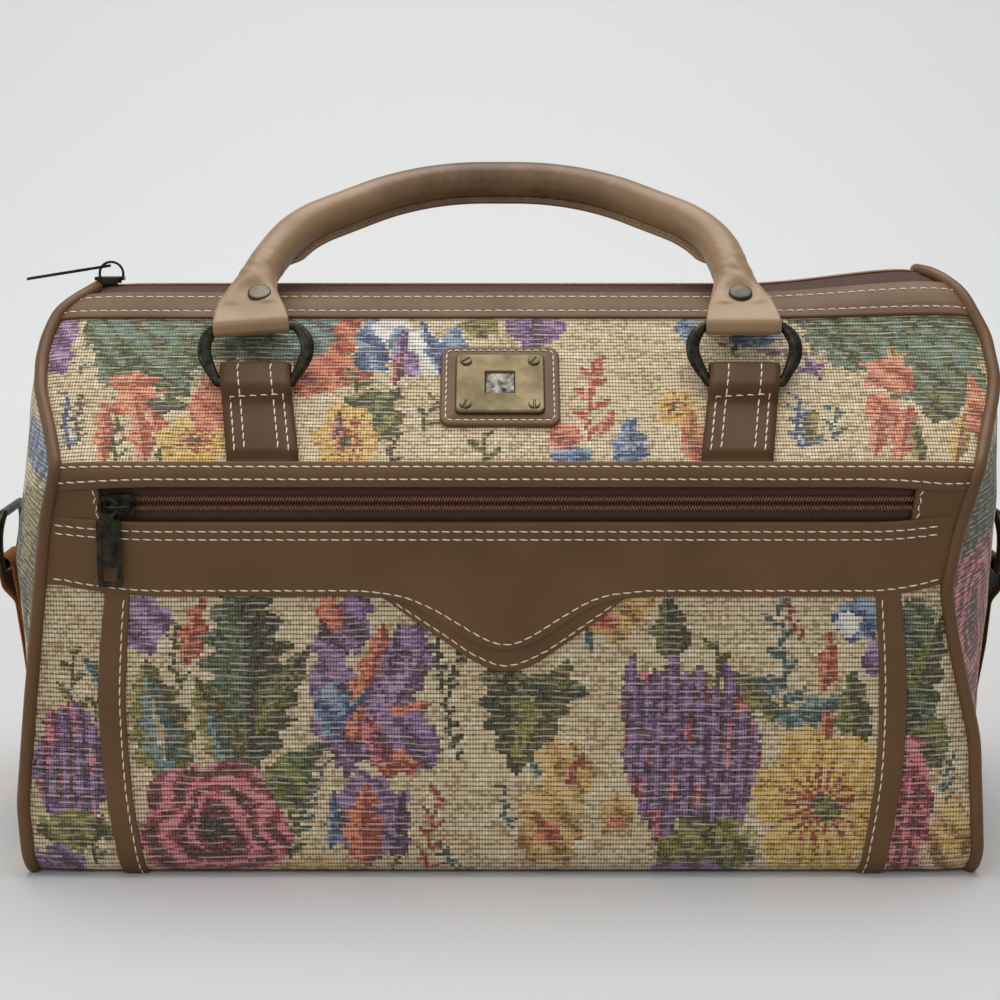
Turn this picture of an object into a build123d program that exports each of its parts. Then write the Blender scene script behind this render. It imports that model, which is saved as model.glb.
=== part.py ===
from build123d import *
from math import cos, pi, radians, sin, tan
import os

# A tapestry satchel with tan leather trim. +X is to the right, +Y to the back, +Z up.
# The origin is the middle of the base, on the surface that the bag stands on. Millimetres.

# Body: one side profile, the same at every X between the two end seams
half_length = 200  # middle to each end seam
half_depth = 100  # middle to the front face
fold_height = 178.5  # where the front face and the slope would meet
slope_angle = 41  # of the slope above the horizontal
ridge_radius = 48
fold_radius = 12
corner_radius = 14  # along the base
panel = 2.5  # tapestry with its backing
leather = 1.2  # one ply of trim
seam_gap = 0.1  # between the piping and the panels beside it

# End panels: domes of four steps, each (rise of X, pull-in of Y as a part of half_depth, rise
# of the base as a part of fold_height, drop of the top as a part of the apex's height)
dome_steps = [(9, 0.07, 0.028, 0.053), (18, 0.2, 0.078, 0.158), (25, 0.4, 0.157, 0.301), (28, 0.6, 0.252, 0.433)]
piping_radius = 2.75
piping_sunk = 1

# Top zip, on the ridge
top_slot = 18  # half the gap between the two top bands
top_band_width = 19
tape_half = 22  # the tape's outer edge, under the bands
tape_margin = 1  # from the tape's edge to the panel's
tape = 0.8
coil_width = 2.6
coil_height = 1.8
coil_gap = 1.2  # between the two rows, where the slider's neck runs

# Pocket zip, in the front face
pocket_slot_low = 155.6
pocket_slot_high = 170.6
pocket_tape_half = 13
end_block_length = 29  # seam to the end blocks' inner edges
band_low = 121.7  # lower edge of the pocket band
flap_half = 52  # half the V flap's width at the band
flap_tip = 97.5  # height of the flap's tip, before its rounding
flap_shoulder = 12  # rounding of the V
flap_reveal = 7  # how far the under ply reaches below the flap
strip_width = 11
strip_top_margin = 31.5  # seam to the outer edge of the strips, at the band
strip_middle_margin = 27.5
strip_foot_margin = 34.5

# Sliders and pulls
slider_length = 13.5
slider_width = 9
slider_plate = 1.6
slider_back = 3  # from the eye's middle to the slider's rear edge
slider_play = 0.2  # over the coil and round the tape
neck = 0.9
bridge_radius = 5.5
bridge_wire = 0.6
bridge_lean = 55  # of the bridge where it passes through the eye
eye_lift = 4.5  # eye's middle over the slider's top plate
eye_outer = 4.4
eye_inner = 3.1
pull_length = 34.5  # eye's middle to the paddle's end
paddle_width = 10.4
paddle_start = 5.5
pull_thickness = 1.2
pull_rim = 2.2  # round the sunk field and the open window at the paddle's end
pull_corner = 1
top_slider_margin = 14  # seam to the eye
pocket_slider_margin = 35
top_pull_droop = 9

# Handle tabs and rings
tab_x = 107  # middle of the bag to each tab and ring
tab_width = 31
tab_length = 51
ply = 1.6  # of the tabs
bar_along = 40  # from the tab's foot to the ring's bar
taper = (12, 5)  # where the folded ply rises from the lower one, before the bar
hollow = (9, 4)  # the same for the space under it
wire = 2.1  # radius of the rings' wire
bar_clear = 0.4
ring_width = 43.8  # between the wires' middles
ring_height = 27
ring_corner = 6.5
front_ring_angle = 62
rear_ring_angle = -12

# Handles: a tube with two flared feet, drawn flat, with the rings' bars on its X axis
handle_radius = 8.75
handle_rise = 111.5
front_handle_angle = 34
rear_handle_angle = -61
foot_width = 33
foot_length = 36
foot_step = 0.6  # the foot starts this much slimmer than its loop round the bar
leg_lean = 1.5  # how far the leg leans in along the foot
shoulder_x = 99.5
shoulder_rise = 70
crown_x = 38
shoulder_bend = 50
crown_bend = 100
rivet_along = 17
rivet_radius = 5.2
rivet_cap = 1.4
rivet_seat = 4.9  # half the foot's thickness under the caps
shank_radius = 1.5

# Name patch and plate, blank
patch_width = 52
patch_height = 46
patch_middle = 40.5  # up the slope
patch_thickness = 2
patch_corner = 5
plate_width = 39
plate_height = 34.6
plate_thickness = 1.6
plate_corner = 3
inset = 13  # the square sunk in the plate
inset_depth = 0.5
screw_radius = 2.6
screw_height = 0.8
screw_slot = 0.7
screw_margin = 4.6

# End tabs and strap rings
end_tab_foot = 50
end_tab_length = 73
end_tab_width = 26
end_ring_lean = 4  # towards the bag

# Inside
board = 3.1
lining = 0.8
board_margin = 8
mouth = 18  # half the lining's open mouth

slope = radians(slope_angle)
apex = fold_height + half_depth * tan(slope)
ridge_centre = apex - ridge_radius / cos(slope)
fold_reach = fold_radius * tan((pi / 2 - slope) / 2)
front_top = fold_height - fold_reach
panel_end = half_length - piping_radius - seam_gap
dome_start = half_length + piping_radius + seam_gap
dome_reach = dome_start + dome_steps[-1][0]
lining_depth = panel + board
end_block_inner = half_length - end_block_length
strip_top = half_length - strip_top_margin
strip_middle = half_length - strip_middle_margin
strip_foot = half_length - strip_foot_margin

# Distances along the profile from the ridge, where its lines and arcs meet
ridge_end = ridge_radius * slope
slope_length = half_depth / cos(slope) - ridge_radius * tan(slope) - fold_reach
slope_end = ridge_end + slope_length
fold_end = slope_end + fold_radius * (pi / 2 - slope)
front_end = fold_end + front_top - corner_radius
corner_end = front_end + corner_radius * pi / 2
arcs = [(-ridge_end, ridge_end), (slope_end, fold_end), (front_end, corner_end)]
marks = [-ridge_end, ridge_end, slope_end, fold_end, front_end, corner_end]


def skin(s, v=0):
    """The (y, z) of a point s along the profile from the ridge to the front, v out of it."""
    if s <= ridge_end:
        angle = s / ridge_radius
        reach = ridge_radius + v
        return -reach * sin(angle), ridge_centre + reach * cos(angle)
    if s <= slope_end:
        run = s - ridge_end
        reach = ridge_radius + v
        y = reach * sin(slope) + run * cos(slope)
        return -y, ridge_centre + reach * cos(slope) - run * sin(slope)
    if s <= fold_end:
        angle = slope + (s - slope_end) / fold_radius
        reach = fold_radius + v
        return fold_radius - half_depth - reach * sin(angle), front_top + reach * cos(angle)
    if s <= front_end:
        return -half_depth - v, front_top - (s - fold_end)
    angle = (s - front_end) / corner_radius
    reach = corner_radius + v
    return corner_radius - half_depth - reach * cos(angle), corner_radius - reach * sin(angle)


def down(z):
    """The distance along the profile to height z on the front face."""
    return fold_end + front_top - z


def strip(s0, s1, v0, v1, x0=-panel_end, x1=panel_end):
    """A layer from s0 to s1 along the profile and v0 to v1 out of it, between x0 and x1."""
    stops = [s0] + [mark for mark in marks if s0 < mark < s1] + [s1]
    edges = []
    for v in (v0, v1):
        for a, b in zip(stops, stops[1:]):
            middle = (a + b) / 2
            start, half, end = (Vector(x0, *skin(s, v)) for s in (a, middle, b))
            if any(low < middle < high for low, high in arcs):
                edges.append(Edge.make_three_point_arc(start, half, end))
            else:
                edges.append(Edge.make_line(start, end))
    for s in (s0, s1):
        edges.append(Edge.make_line(Vector(x0, *skin(s, v0)), Vector(x0, *skin(s, v1))))
    section = Face(Wire.combine(edges)[0])
    return extrude(section, amount=x1 - x0, dir=(1, 0, 0))


def outline(x, inset=0, base=None, side=None, top=0):
    """The closed side profile at x, pulled in by inset, or with a base and side of its own."""
    low = inset if base is None else base
    reach = half_depth - inset if side is None else side
    peak = apex - inset / cos(slope) - top
    points = [(x, -reach, low), (x, -reach, peak - reach * tan(slope)), (x, 0, peak)]
    points += [(x, reach, peak - reach * tan(slope)), (x, reach, low)]
    ridge = ridge_radius * (reach + inset) / half_depth
    bends = [corner_radius, fold_radius, ridge, fold_radius, corner_radius]
    return FilletPolyline(*points, radius=[bend - inset for bend in bends], close=True)


def rear(piece):
    return mirror(piece, about=Plane.XZ)


def right(piece):
    return mirror(piece, about=Plane.YZ)


def front_prism(shape, v0, v1):
    """A shape drawn in the front view, between v0 and v1 out of the front face."""
    return extrude(Plane.XZ.offset(half_depth + v0) * shape, amount=v1 - v0)


def on_slope(piece, x, up, out=0):
    """Places a piece, drawn flat, on the front slope: up from its foot, out of its face."""
    y, z = skin(slope_end - up, out)
    return Plane(origin=(x, y, z), x_dir=(1, 0, 0), z_dir=(0, -sin(slope), cos(slope))) * piece


# Panels of tapestry
def strip_edge(offset):
    """The pocket strip's curve, offset inwards from its outer edge, from the base up."""
    foot = (offset - strip_foot, 0)
    middle = (offset - strip_middle, band_low / 2)
    return ThreePointArc(foot, middle, (offset - strip_top, band_low))


def pocket_outline():
    """The front view of the pocket, with straight sides that the strips cover."""
    side = strip_width / 2
    points = [(side - strip_foot, 0), (side - strip_middle, band_low / 2), (side - strip_top, band_low)]
    points.append((side - strip_top, pocket_slot_low - leather))
    points += [(-x, y) for x, y in reversed(points)]
    return make_face(Polyline(*points, close=True))


def front_panels():
    whole = strip(down(pocket_slot_low - leather), corner_end, -panel, 0)
    middle = front_prism(pocket_outline(), -half_depth, half_depth)
    sides = whole - middle
    left, other = sides.solids().sort_by(Axis.X)
    return whole & middle, left, other


def base_panel():
    width = half_depth - corner_radius
    return Pos(0, 0, panel / 2) * Box(2 * panel_end, 2 * width, panel)


def end_panel():
    """A dome lofted through four profiles beyond the seam, with the tapestry's thickness."""
    shells = []
    for inset in (0, panel):
        faces = [make_face(outline(dome_start, inset))]
        for rise, pull, base, drop in dome_steps:
            side = half_depth * (1 - pull) - inset
            low = fold_height * base + inset
            ring = outline(dome_start + rise - inset, inset, low, side, apex * drop)
            faces.append(make_face(ring))
        shells.append(loft(faces, ruled=True))
    return shells[0] - shells[1]


def piping():
    """A round cord round the end seam, half sunk in it, and down to the surface below."""
    reach = half_depth - piping_sunk
    peak = apex - piping_sunk / cos(slope)
    x = half_length
    points = [(x, -reach, piping_radius), (x, -reach, peak - reach * tan(slope)), (x, 0, peak)]
    points += [(x, reach, peak - reach * tan(slope)), (x, reach, piping_radius)]
    bends = [corner_radius, fold_radius, ridge_radius, fold_radius, corner_radius]
    path = FilletPolyline(*points, radius=[bend - piping_sunk for bend in bends], close=True)
    section = Plane(origin=path @ 0, z_dir=path % 0) * Circle(piping_radius)
    return sweep(section, path=path)


# Leather trim
def upper_band():
    return strip(slope_end, down(pocket_slot_high), 0, leather)


def flap_shape(grow):
    """The V flap in the front view, grown down by the under ply's reveal."""
    low = band_low - grow
    points = [(-flap_half - grow, low), (0, flap_tip - grow), (flap_half + grow, low)]
    v = FilletPolyline(*points, radius=flap_shoulder)
    return v, low


def pocket_band():
    """The wide band with the V flap, hollowed behind the flap for the under ply."""
    v, low = flap_shape(0)
    top = pocket_slot_low
    sides = Polyline(v @ 1, (panel_end, low), (panel_end, top), (-panel_end, top), (-panel_end, low), v @ 0)
    band = front_prism(make_face(v + sides), 0, 2 * leather)
    return band - under_flap()


def under_flap():
    v, low = flap_shape(flap_reveal)
    top = band_low + flap_reveal
    sides = Polyline(v @ 1, ((v @ 1).X, top), ((v @ 0).X, top), v @ 0)
    return front_prism(make_face(v + sides), 0, leather)


def pocket_strip():
    """A curved strip beside the pocket, from the band down to the base's rounding."""
    outer = strip_edge(0)
    inner = strip_edge(strip_width)
    shape = make_face(outer + Line(outer @ 1, inner @ 1) + inner + Line(inner @ 0, outer @ 0))
    whole = front_prism(shape, 0, leather)
    keep = Pos(0, -half_depth, corner_radius + half_depth) * Box(2 * panel_end, half_depth, 2 * half_depth)
    return (whole & keep) - under_flap()


# Zips
def zip_pieces(place, start, end):
    """The two halves of a tape and of its coil, laid by place(low, high, v0, v1, x0, x1)."""
    tapes = []
    coils = []
    for side in (-1, 1):
        inner = side * coil_gap / 2
        tapes.append(place(inner, side * end, -tape, 0, -start, start))
        coils.append(place(inner, inner + side * coil_width, 0, coil_height, -start, start))
    return Compound(tapes), Compound(coils)


def ridge_layer(a, b, v0, v1, x0, x1):
    return strip(min(a, b), max(a, b), v0, v1, x0, x1)


pocket_zip_height = (pocket_slot_low + pocket_slot_high) / 2


def pocket_layer(a, b, v0, v1, x0, x1):
    low = down(pocket_zip_height + max(a, b))
    return strip(low, down(pocket_zip_height + min(a, b)), v0 - panel, v1 - panel, x0, x1)


plate_low = coil_height + slider_play
plate_top = plate_low + slider_plate


def slider():
    """Two plates joined by a neck between the coil's rows, with side flanges and a bridge."""
    middle = slider_length / 2 - slider_back
    top = Pos(middle, 0, plate_low + slider_plate / 2) * Box(slider_length, slider_width, slider_plate)
    top = fillet(top.edges().filter_by(Axis.Z), slider_width / 4)
    back_top = -tape - 2 * slider_play
    back = Box(slider_length - 2 * neck, slider_width - neck, slider_plate)
    back = Pos(middle, 0, back_top - slider_plate / 2) * back
    post = Pos(middle, 0, (plate_low + back_top) / 2) * Box(slider_length / 2, neck, plate_low - back_top)
    body = top + back + post
    for side in (-1, 1):
        flange = Box(slider_length - slider_width / 2, neck, plate_low - 2 * slider_play)
        reach = (slider_width - neck) / 2
        body += Pos(middle, side * reach, (plate_low + 2 * slider_play) / 2) * flange
    middle = bridge_radius * sin(radians(bridge_lean))
    centre = plate_top + eye_lift - bridge_radius * cos(radians(bridge_lean))
    root = plate_top - bridge_wire
    reach = (bridge_radius**2 - (centre - root) ** 2) ** 0.5
    top = centre + bridge_radius
    arc = ThreePointArc((middle - reach, 0, root), (middle, 0, top), (middle + reach, 0, root))
    wire_end = Plane(origin=arc @ 0, z_dir=arc % 0) * Circle(bridge_wire)
    return body + sweep(wire_end, path=arc)


def pull():
    """The eye and the paddle of a zip pull in one plate, with a sunk field and a window."""
    paddle_length = pull_length - paddle_start
    paddle = RectangleRounded(paddle_length, paddle_width, pull_corner)
    shape = Circle(eye_outer) + Pos(-paddle_start - paddle_length / 2, 0) * paddle
    shape += Pos(-paddle_start, 0) * Rectangle(paddle_start, eye_outer)
    shape -= Circle(eye_inner)
    window = paddle_width - 2 * pull_rim
    shape -= Pos(pull_rim + window / 2 - pull_length, 0) * Rectangle(window, window)
    body = extrude(shape, amount=pull_thickness / 2, both=True)
    field_length = paddle_length - window - 3 * pull_rim
    field = Box(field_length, window, pull_thickness / 2)
    return body - Pos(-paddle_start - pull_rim - field_length / 2, 0, pull_thickness / 2) * field


# Tabs, rings and handles
bar_out = wire + bar_clear + ply  # the bar's middle over the face that the tab is sewn to


def tab(length, along, width):
    """A strap folded round a bar: u along it, v out of the face, drawn as (x, y)."""
    high = 2 * bar_out
    turn = length - bar_out
    outer = Polyline((turn, high), (along - taper[1], high), (along - taper[0], 2 * ply), (0, 2 * ply), (0, 0), (turn, 0))
    fold = ThreePointArc((turn, 0), (length, bar_out), (turn, high))
    hole = wire + bar_clear
    inner = Polyline((turn, bar_out + hole), (along - hollow[1], bar_out + hole), (along - hollow[0], ply), (turn, ply))
    bend = ThreePointArc((turn, ply), (turn + hole, bar_out), (turn, bar_out + hole))
    section = make_face(outer + fold) - make_face(inner + bend)
    return extrude(section, amount=width / 2, both=True)


def handle_tab(side):
    y, z = skin(slope_end)
    place = Plane(origin=(side * tab_x, y, z), x_dir=(0, cos(slope), sin(slope)), z_dir=(1, 0, 0))
    return place * tab(tab_length, bar_along, tab_width)


def oval_ring():
    """Drawn flat: its first bar on the X axis, its second at ring_height."""
    side = ring_width / 2
    points = [(-side, 0), (side, 0), (side, ring_height), (-side, ring_height)]
    path = FilletPolyline(*points, radius=ring_corner, close=True)
    return sweep(Plane(origin=path @ 0, z_dir=path % 0) * Circle(wire), path=path)


def hung(piece, y, z, angle, x=0):
    """Turns a flat piece about its own X axis to angle above the back, at (y, z)."""
    turn = radians(angle)
    return Plane(origin=(x, y, z), x_dir=(1, 0, 0), z_dir=(0, -sin(turn), cos(turn))) * piece


def handle():
    """The rolled tube, with a foot at each end that flares and folds round the ring's bar."""
    top = (leg_lean - tab_x, foot_length)
    points = [top, (-shoulder_x, shoulder_rise), (-crown_x, handle_rise)]
    points += [(-x, y) for x, y in reversed(points)]
    path = FilletPolyline(*points, radius=[shoulder_bend, crown_bend, crown_bend, shoulder_bend])
    tube = sweep(Plane(origin=path @ 0, z_dir=path % 0) * Circle(handle_radius), path=path)
    return tube + foot() + right(foot())


def foot():
    loop = wire + bar_clear + ply
    start = Plane(origin=(-tab_x, 0, 0), z_dir=(0, 1, 0), x_dir=(1, 0, 0))
    along = Vector(tab_x - leg_lean - shoulder_x, shoulder_rise - foot_length, 0)
    end = Plane(origin=(leg_lean - tab_x, foot_length, 0), z_dir=along, x_dir=(1, 0, 0))
    middle = Plane(origin=(leg_lean / 2 - tab_x, foot_length / 2, 0), z_dir=(0, 1, 0), x_dir=(1, 0, 0))
    sections = [start * Ellipse(foot_width / 2 - foot_step, loop - foot_step)]
    sections.append(middle * Ellipse(foot_width / 3, (loop + handle_radius) / 2))
    sections.append(end * Circle(handle_radius))
    body = loft(sections)
    body += Pos(-tab_x, 0, 0) * Rot(0, 90, 0) * Cylinder(loop, foot_width)
    body -= Pos(-tab_x, 0, 0) * Rot(0, 90, 0) * Cylinder(wire + bar_clear, 2 * foot_width)
    at = Pos(-tab_x, rivet_along, 0)
    body -= at * Cylinder(shank_radius, 4 * handle_radius)
    for side in (-1, 1):
        seat = Cylinder(rivet_radius + bar_clear, handle_radius)
        body -= at * Pos(0, 0, side * (rivet_seat + handle_radius / 2)) * seat
    return body


def rivets():
    one = Cylinder(shank_radius, 2 * rivet_seat)
    for side in (-1, 1):
        cap = Pos(0, 0, side * (rivet_seat + rivet_cap / 2)) * Cylinder(rivet_radius, rivet_cap)
        edge = cap.edges().sort_by(Axis.Z)[-1 if side > 0 else 0]
        one += fillet(edge, rivet_cap / 2)
    one = Pos(-tab_x, rivet_along, 0) * one
    return Compound([one, right(one)])


# Patch, plate and screws on the front slope
def name_patch():
    flat = extrude(RectangleRounded(patch_width, patch_height, patch_corner), amount=patch_thickness)
    return on_slope(flat, 0, patch_middle)


def name_plate():
    flat = extrude(RectangleRounded(plate_width, plate_height, plate_corner), amount=plate_thickness)
    flat -= Pos(0, 0, plate_thickness) * Box(inset, inset, 2 * inset_depth)
    return on_slope(flat, 0, patch_middle, patch_thickness)


def plate_screws():
    screws = []
    head = extrude(Circle(screw_radius), amount=screw_height)
    head -= Pos(0, 0, screw_height) * Rot(0, 0, 45) * Box(2 * screw_radius, screw_slot, screw_height)
    for x in (-1, 1):
        for y in (-1, 1):
            corner = (x * (plate_width / 2 - screw_margin), y * (plate_height / 2 - screw_margin))
            screws.append(on_slope(Pos(*corner) * head, 0, patch_middle, patch_thickness + plate_thickness))
    return Compound(screws)


# End tabs and strap rings
def end_tab():
    place = Plane(origin=(-dome_reach, 0, end_tab_foot), x_dir=(0, 0, 1), z_dir=(0, -1, 0))
    return place * tab(end_tab_length, end_bar_along, end_tab_width)


end_bar_along = end_tab_length - bar_out - wire


def end_ring():
    lean = radians(end_ring_lean)
    at = (-dome_reach - bar_out, 0, end_tab_foot + end_bar_along)
    place = Plane(origin=at, x_dir=(0, -1, 0), z_dir=(-cos(lean), 0, sin(lean)))
    return place * oval_ring()


# Inside
def base_board():
    width = half_depth - corner_radius - board_margin
    return Pos(0, 0, panel + board / 2) * Box(2 * (panel_end - board_margin), 2 * width, board)


def lining_sack():
    """An open-topped sack a board's thickness in from the panels, standing on the board."""
    length = 2 * (panel_end - lining)
    outer = extrude(make_face(outline(-length / 2, lining_depth)), amount=length, dir=(1, 0, 0))
    length -= 2 * lining
    inner = extrude(make_face(outline(-length / 2, lining_depth + lining)), amount=length, dir=(1, 0, 0))
    hole = Pos(0, 0, apex) * Box(2 * panel_end, 2 * mouth, 2 * (apex - ridge_centre - ridge_radius / 2))
    return outer - inner - hole


def pocket_lining():
    low = down(2 * corner_radius)
    high = down(pocket_zip_height - pocket_tape_half / 2)
    return strip(high, low, -panel - tape - lining, -panel - tape, -end_block_inner, end_block_inner)


nodes = {}
nodes["front_upper_panel"] = strip(tape_half + tape_margin, down(pocket_slot_high), -panel, 0)
nodes["front_pocket_panel"], nodes["front_side_panel_left"], nodes["front_side_panel_right"] = front_panels()
nodes["back_upper_panel"] = rear(strip(tape_half + tape_margin, fold_end, -panel, 0))
nodes["back_lower_panel"] = rear(strip(fold_end, corner_end, -panel, 0))
nodes["base_panel"] = base_panel()
nodes["end_panel_right"] = end_panel()
nodes["end_panel_left"] = right(nodes["end_panel_right"])
nodes["piping_right"] = piping()
nodes["piping_left"] = right(nodes["piping_right"])

nodes["top_band_front"] = strip(top_slot, top_slot + top_band_width, 0, leather)
nodes["top_band_back"] = rear(nodes["top_band_front"])
nodes["top_zip_tape"], nodes["top_zip_coil"] = zip_pieces(ridge_layer, panel_end, tape_half)
nodes["upper_band"] = upper_band()
nodes["back_band"] = rear(nodes["upper_band"])
nodes["pocket_band"] = pocket_band()
nodes["pocket_flap_under"] = under_flap()
nodes["pocket_strip_left"] = pocket_strip()
nodes["pocket_strip_right"] = right(nodes["pocket_strip_left"])
nodes["pocket_zip_tape"], nodes["pocket_zip_coil"] = zip_pieces(
    pocket_layer, end_block_inner, pocket_tape_half
)
block_low, block_high = down(pocket_slot_high), down(pocket_slot_low)
nodes["zip_end_block_left"] = strip(block_low, block_high, -panel, 0, -panel_end, -end_block_inner)
nodes["zip_end_block_right"] = right(nodes["zip_end_block_left"])

ridge_top = skin(0)[1]
top_place = Plane(origin=(top_slider_margin - half_length, 0, ridge_top), x_dir=(1, 0, 0), z_dir=(0, 0, 1))
pocket_face = -half_depth + panel
pocket_place = Plane(
    origin=(pocket_slider_margin - half_length, pocket_face, pocket_zip_height),
    x_dir=(1, 0, 0), z_dir=(0, -1, 0),
)
eye_height = plate_top + eye_lift
nodes["top_zip_slider"] = top_place * slider()
nodes["top_zip_pull"] = top_place * Pos(0, 0, eye_height) * Rot(0, -top_pull_droop, 0) * pull()
nodes["pocket_zip_slider"] = pocket_place * slider()
nodes["pocket_zip_pull"] = pocket_place * Pos(0, 0, eye_height) * Rot(0, 0, 90) * pull()

low_bar = skin(slope_end - bar_along, bar_out)
front_turn, rear_turn = radians(front_ring_angle), radians(rear_ring_angle)
front_bar = (low_bar[0] + ring_height * cos(front_turn), low_bar[1] + ring_height * sin(front_turn))
rear_bar = (ring_height * cos(rear_turn) - low_bar[0], low_bar[1] + ring_height * sin(rear_turn))
for name, side in (("left", -1), ("right", 1)):
    nodes["front_tab_" + name] = handle_tab(side)
    nodes["rear_tab_" + name] = rear(handle_tab(side))
    nodes["front_ring_" + name] = hung(oval_ring(), *low_bar, front_ring_angle, side * tab_x)
    nodes["rear_ring_" + name] = hung(oval_ring(), -low_bar[0], low_bar[1], rear_ring_angle, side * tab_x)
nodes["front_handle"] = hung(handle(), *front_bar, front_handle_angle)
nodes["front_handle_rivets"] = hung(rivets(), *front_bar, front_handle_angle)
nodes["rear_handle"] = hung(handle(), *rear_bar, rear_handle_angle)
nodes["rear_handle_rivets"] = hung(rivets(), *rear_bar, rear_handle_angle)

nodes["name_patch"] = name_patch()
nodes["name_plate"] = name_plate()
nodes["plate_screws"] = plate_screws()
nodes["end_tab_left"] = end_tab()
nodes["end_tab_right"] = right(end_tab())
nodes["end_ring_left"] = end_ring()
nodes["end_ring_right"] = right(end_ring())
nodes["base_board"] = base_board()
nodes["lining_sack"] = lining_sack()
nodes["pocket_lining"] = pocket_lining()

os.makedirs("parts", exist_ok=True)
for name, piece in nodes.items():
    export_step(piece, f"parts/{name}.step")

print("front ring bar (y, z)", low_bar, "front handle bar", front_bar, "rear handle bar", rear_bar)
print("end ring bar x", dome_reach + bar_out, "z", end_tab_foot + end_bar_along)
print("zip eyes z", ridge_top + eye_height, "y", pocket_face - eye_height, "pocket z", pocket_zip_height)
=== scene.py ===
# A soft tapestry satchel with tan trim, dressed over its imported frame.
import bmesh
import bpy
import numpy as np
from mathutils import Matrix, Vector


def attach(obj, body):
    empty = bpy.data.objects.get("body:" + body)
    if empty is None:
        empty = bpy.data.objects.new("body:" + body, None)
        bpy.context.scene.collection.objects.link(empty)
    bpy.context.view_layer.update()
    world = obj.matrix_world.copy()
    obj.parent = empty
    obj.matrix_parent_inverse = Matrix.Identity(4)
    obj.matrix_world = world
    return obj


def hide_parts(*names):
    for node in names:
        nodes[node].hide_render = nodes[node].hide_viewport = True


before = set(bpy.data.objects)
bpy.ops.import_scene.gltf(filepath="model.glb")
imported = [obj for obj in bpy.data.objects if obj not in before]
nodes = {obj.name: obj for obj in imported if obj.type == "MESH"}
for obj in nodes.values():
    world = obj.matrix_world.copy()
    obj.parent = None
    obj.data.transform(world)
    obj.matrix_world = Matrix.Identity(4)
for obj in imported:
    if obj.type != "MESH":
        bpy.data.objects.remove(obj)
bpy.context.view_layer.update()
print("frame loaded")

# The bag's side profile, in mm: s runs along it from the ridge, positive to the front,
# x across the bag and v out of its face. Everything on the bag is placed in (x, s, v).
body = {
    "halfDepth": 100, "foldHeight": 178.5, "slope": 41, "ridgeRadius": 48, "foldRadius": 12,
    "cornerRadius": 14, "tabX": 107,  # tabX is where the tabs, the rings and the handles' feet are
    # (s, x) of the end seams, seen from the front, and their gentler form at the back
    "leftSeam": [(-397, -201), (-311, -203), (-250, -206), (-190, -202), (-130, -196), (-95, -200),
                 (-55, -204), (-30, -200), (-12, -190), (0, -187), (12, -188.5), (22, -194), (33, -200.5),
                 (47, -203), (62, -203.4), (80, -201), (100, -194.5), (124, -187.7), (147, -193),
                 (181, -197.4), (226, -202.8), (271, -208), (298, -206.5), (320, -203), (397, -201)],
    "rightSeam": [(-397, 201), (-311, 203), (-250, 206), (-190, 202), (-130, 197), (-95, 204), (-55, 212),
                  (-30, 209), (-12, 199), (0, 193), (5, 197), (24, 210), (47, 217.5), (72, 217.7),
                  (85, 214.7), (105, 208.5), (122, 203.5), (151, 195.3), (177, 190.6), (199, 194.6),
                  (243, 205.7), (293, 209.2), (320, 205), (397, 201)],
    "seamSmoothing": 9,
    "ridgeRise": 8, "frontCrown": 3.2, "seamDip": 2.2, "waves": 0.7,
    # the foot of the front swells and leans forward, and narrows by the same view angle
    "footSwell": 4.0, "footLean": 3.2, "footNarrow": 0.0085, "footLevel": 0.9,
}
slope = np.radians(body["slope"])
ridgeR, foldR, cornerR = body["ridgeRadius"], body["foldRadius"], body["cornerRadius"]
halfDepth, tabX = body["halfDepth"], body["tabX"]
apex = body["foldHeight"] + halfDepth * np.tan(slope)
ridgeCentre = apex - ridgeR / np.cos(slope)
foldReach = foldR * np.tan((np.pi / 2 - slope) / 2)
frontTop = body["foldHeight"] - foldReach
ridgeEnd = ridgeR * slope
slopeEnd = ridgeEnd + halfDepth / np.cos(slope) - ridgeR * np.tan(slope) - foldReach
foldEnd = slopeEnd + foldR * (np.pi / 2 - slope)
frontEnd = foldEnd + frontTop - cornerR
cornerEnd = frontEnd + cornerR * np.pi / 2
baseMiddle = cornerEnd + halfDepth - cornerR


def atHeight(z):
    # the distance s down the front face to height z
    return foldEnd + frontTop - z


def profilePoint(s, v):
    # (y, z) on the profile: an arc over the ridge, a straight slope, an arc at the fold, the
    # straight front, an arc at the corner and the flat base, each offset outwards by v
    s, v = np.broadcast_arrays(np.asarray(s, float), np.asarray(v, float))
    a = np.abs(s)
    top, turn = a / ridgeR, slope + (a - slopeEnd) / foldR
    low = (a - frontEnd) / cornerR
    zones = [a <= ridgeEnd, a <= slopeEnd, a <= foldEnd, a <= frontEnd, a <= cornerEnd]
    y = np.select(zones, [
        (ridgeR + v) * np.sin(top),
        (ridgeR + v) * np.sin(slope) + (a - ridgeEnd) * np.cos(slope),
        halfDepth - foldR + (foldR + v) * np.sin(turn),
        halfDepth + v,
        halfDepth - cornerR + (cornerR + v) * np.cos(low)], halfDepth - cornerR - (a - cornerEnd))
    z = np.select(zones, [
        ridgeCentre + (ridgeR + v) * np.cos(top),
        ridgeCentre + (ridgeR + v) * np.cos(slope) - (a - ridgeEnd) * np.sin(slope),
        frontTop + (foldR + v) * np.cos(turn),
        frontTop - (a - foldEnd),
        cornerR - (cornerR + v) * np.sin(low)], -v)
    return np.where(s > 0, -y, y), z


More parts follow.
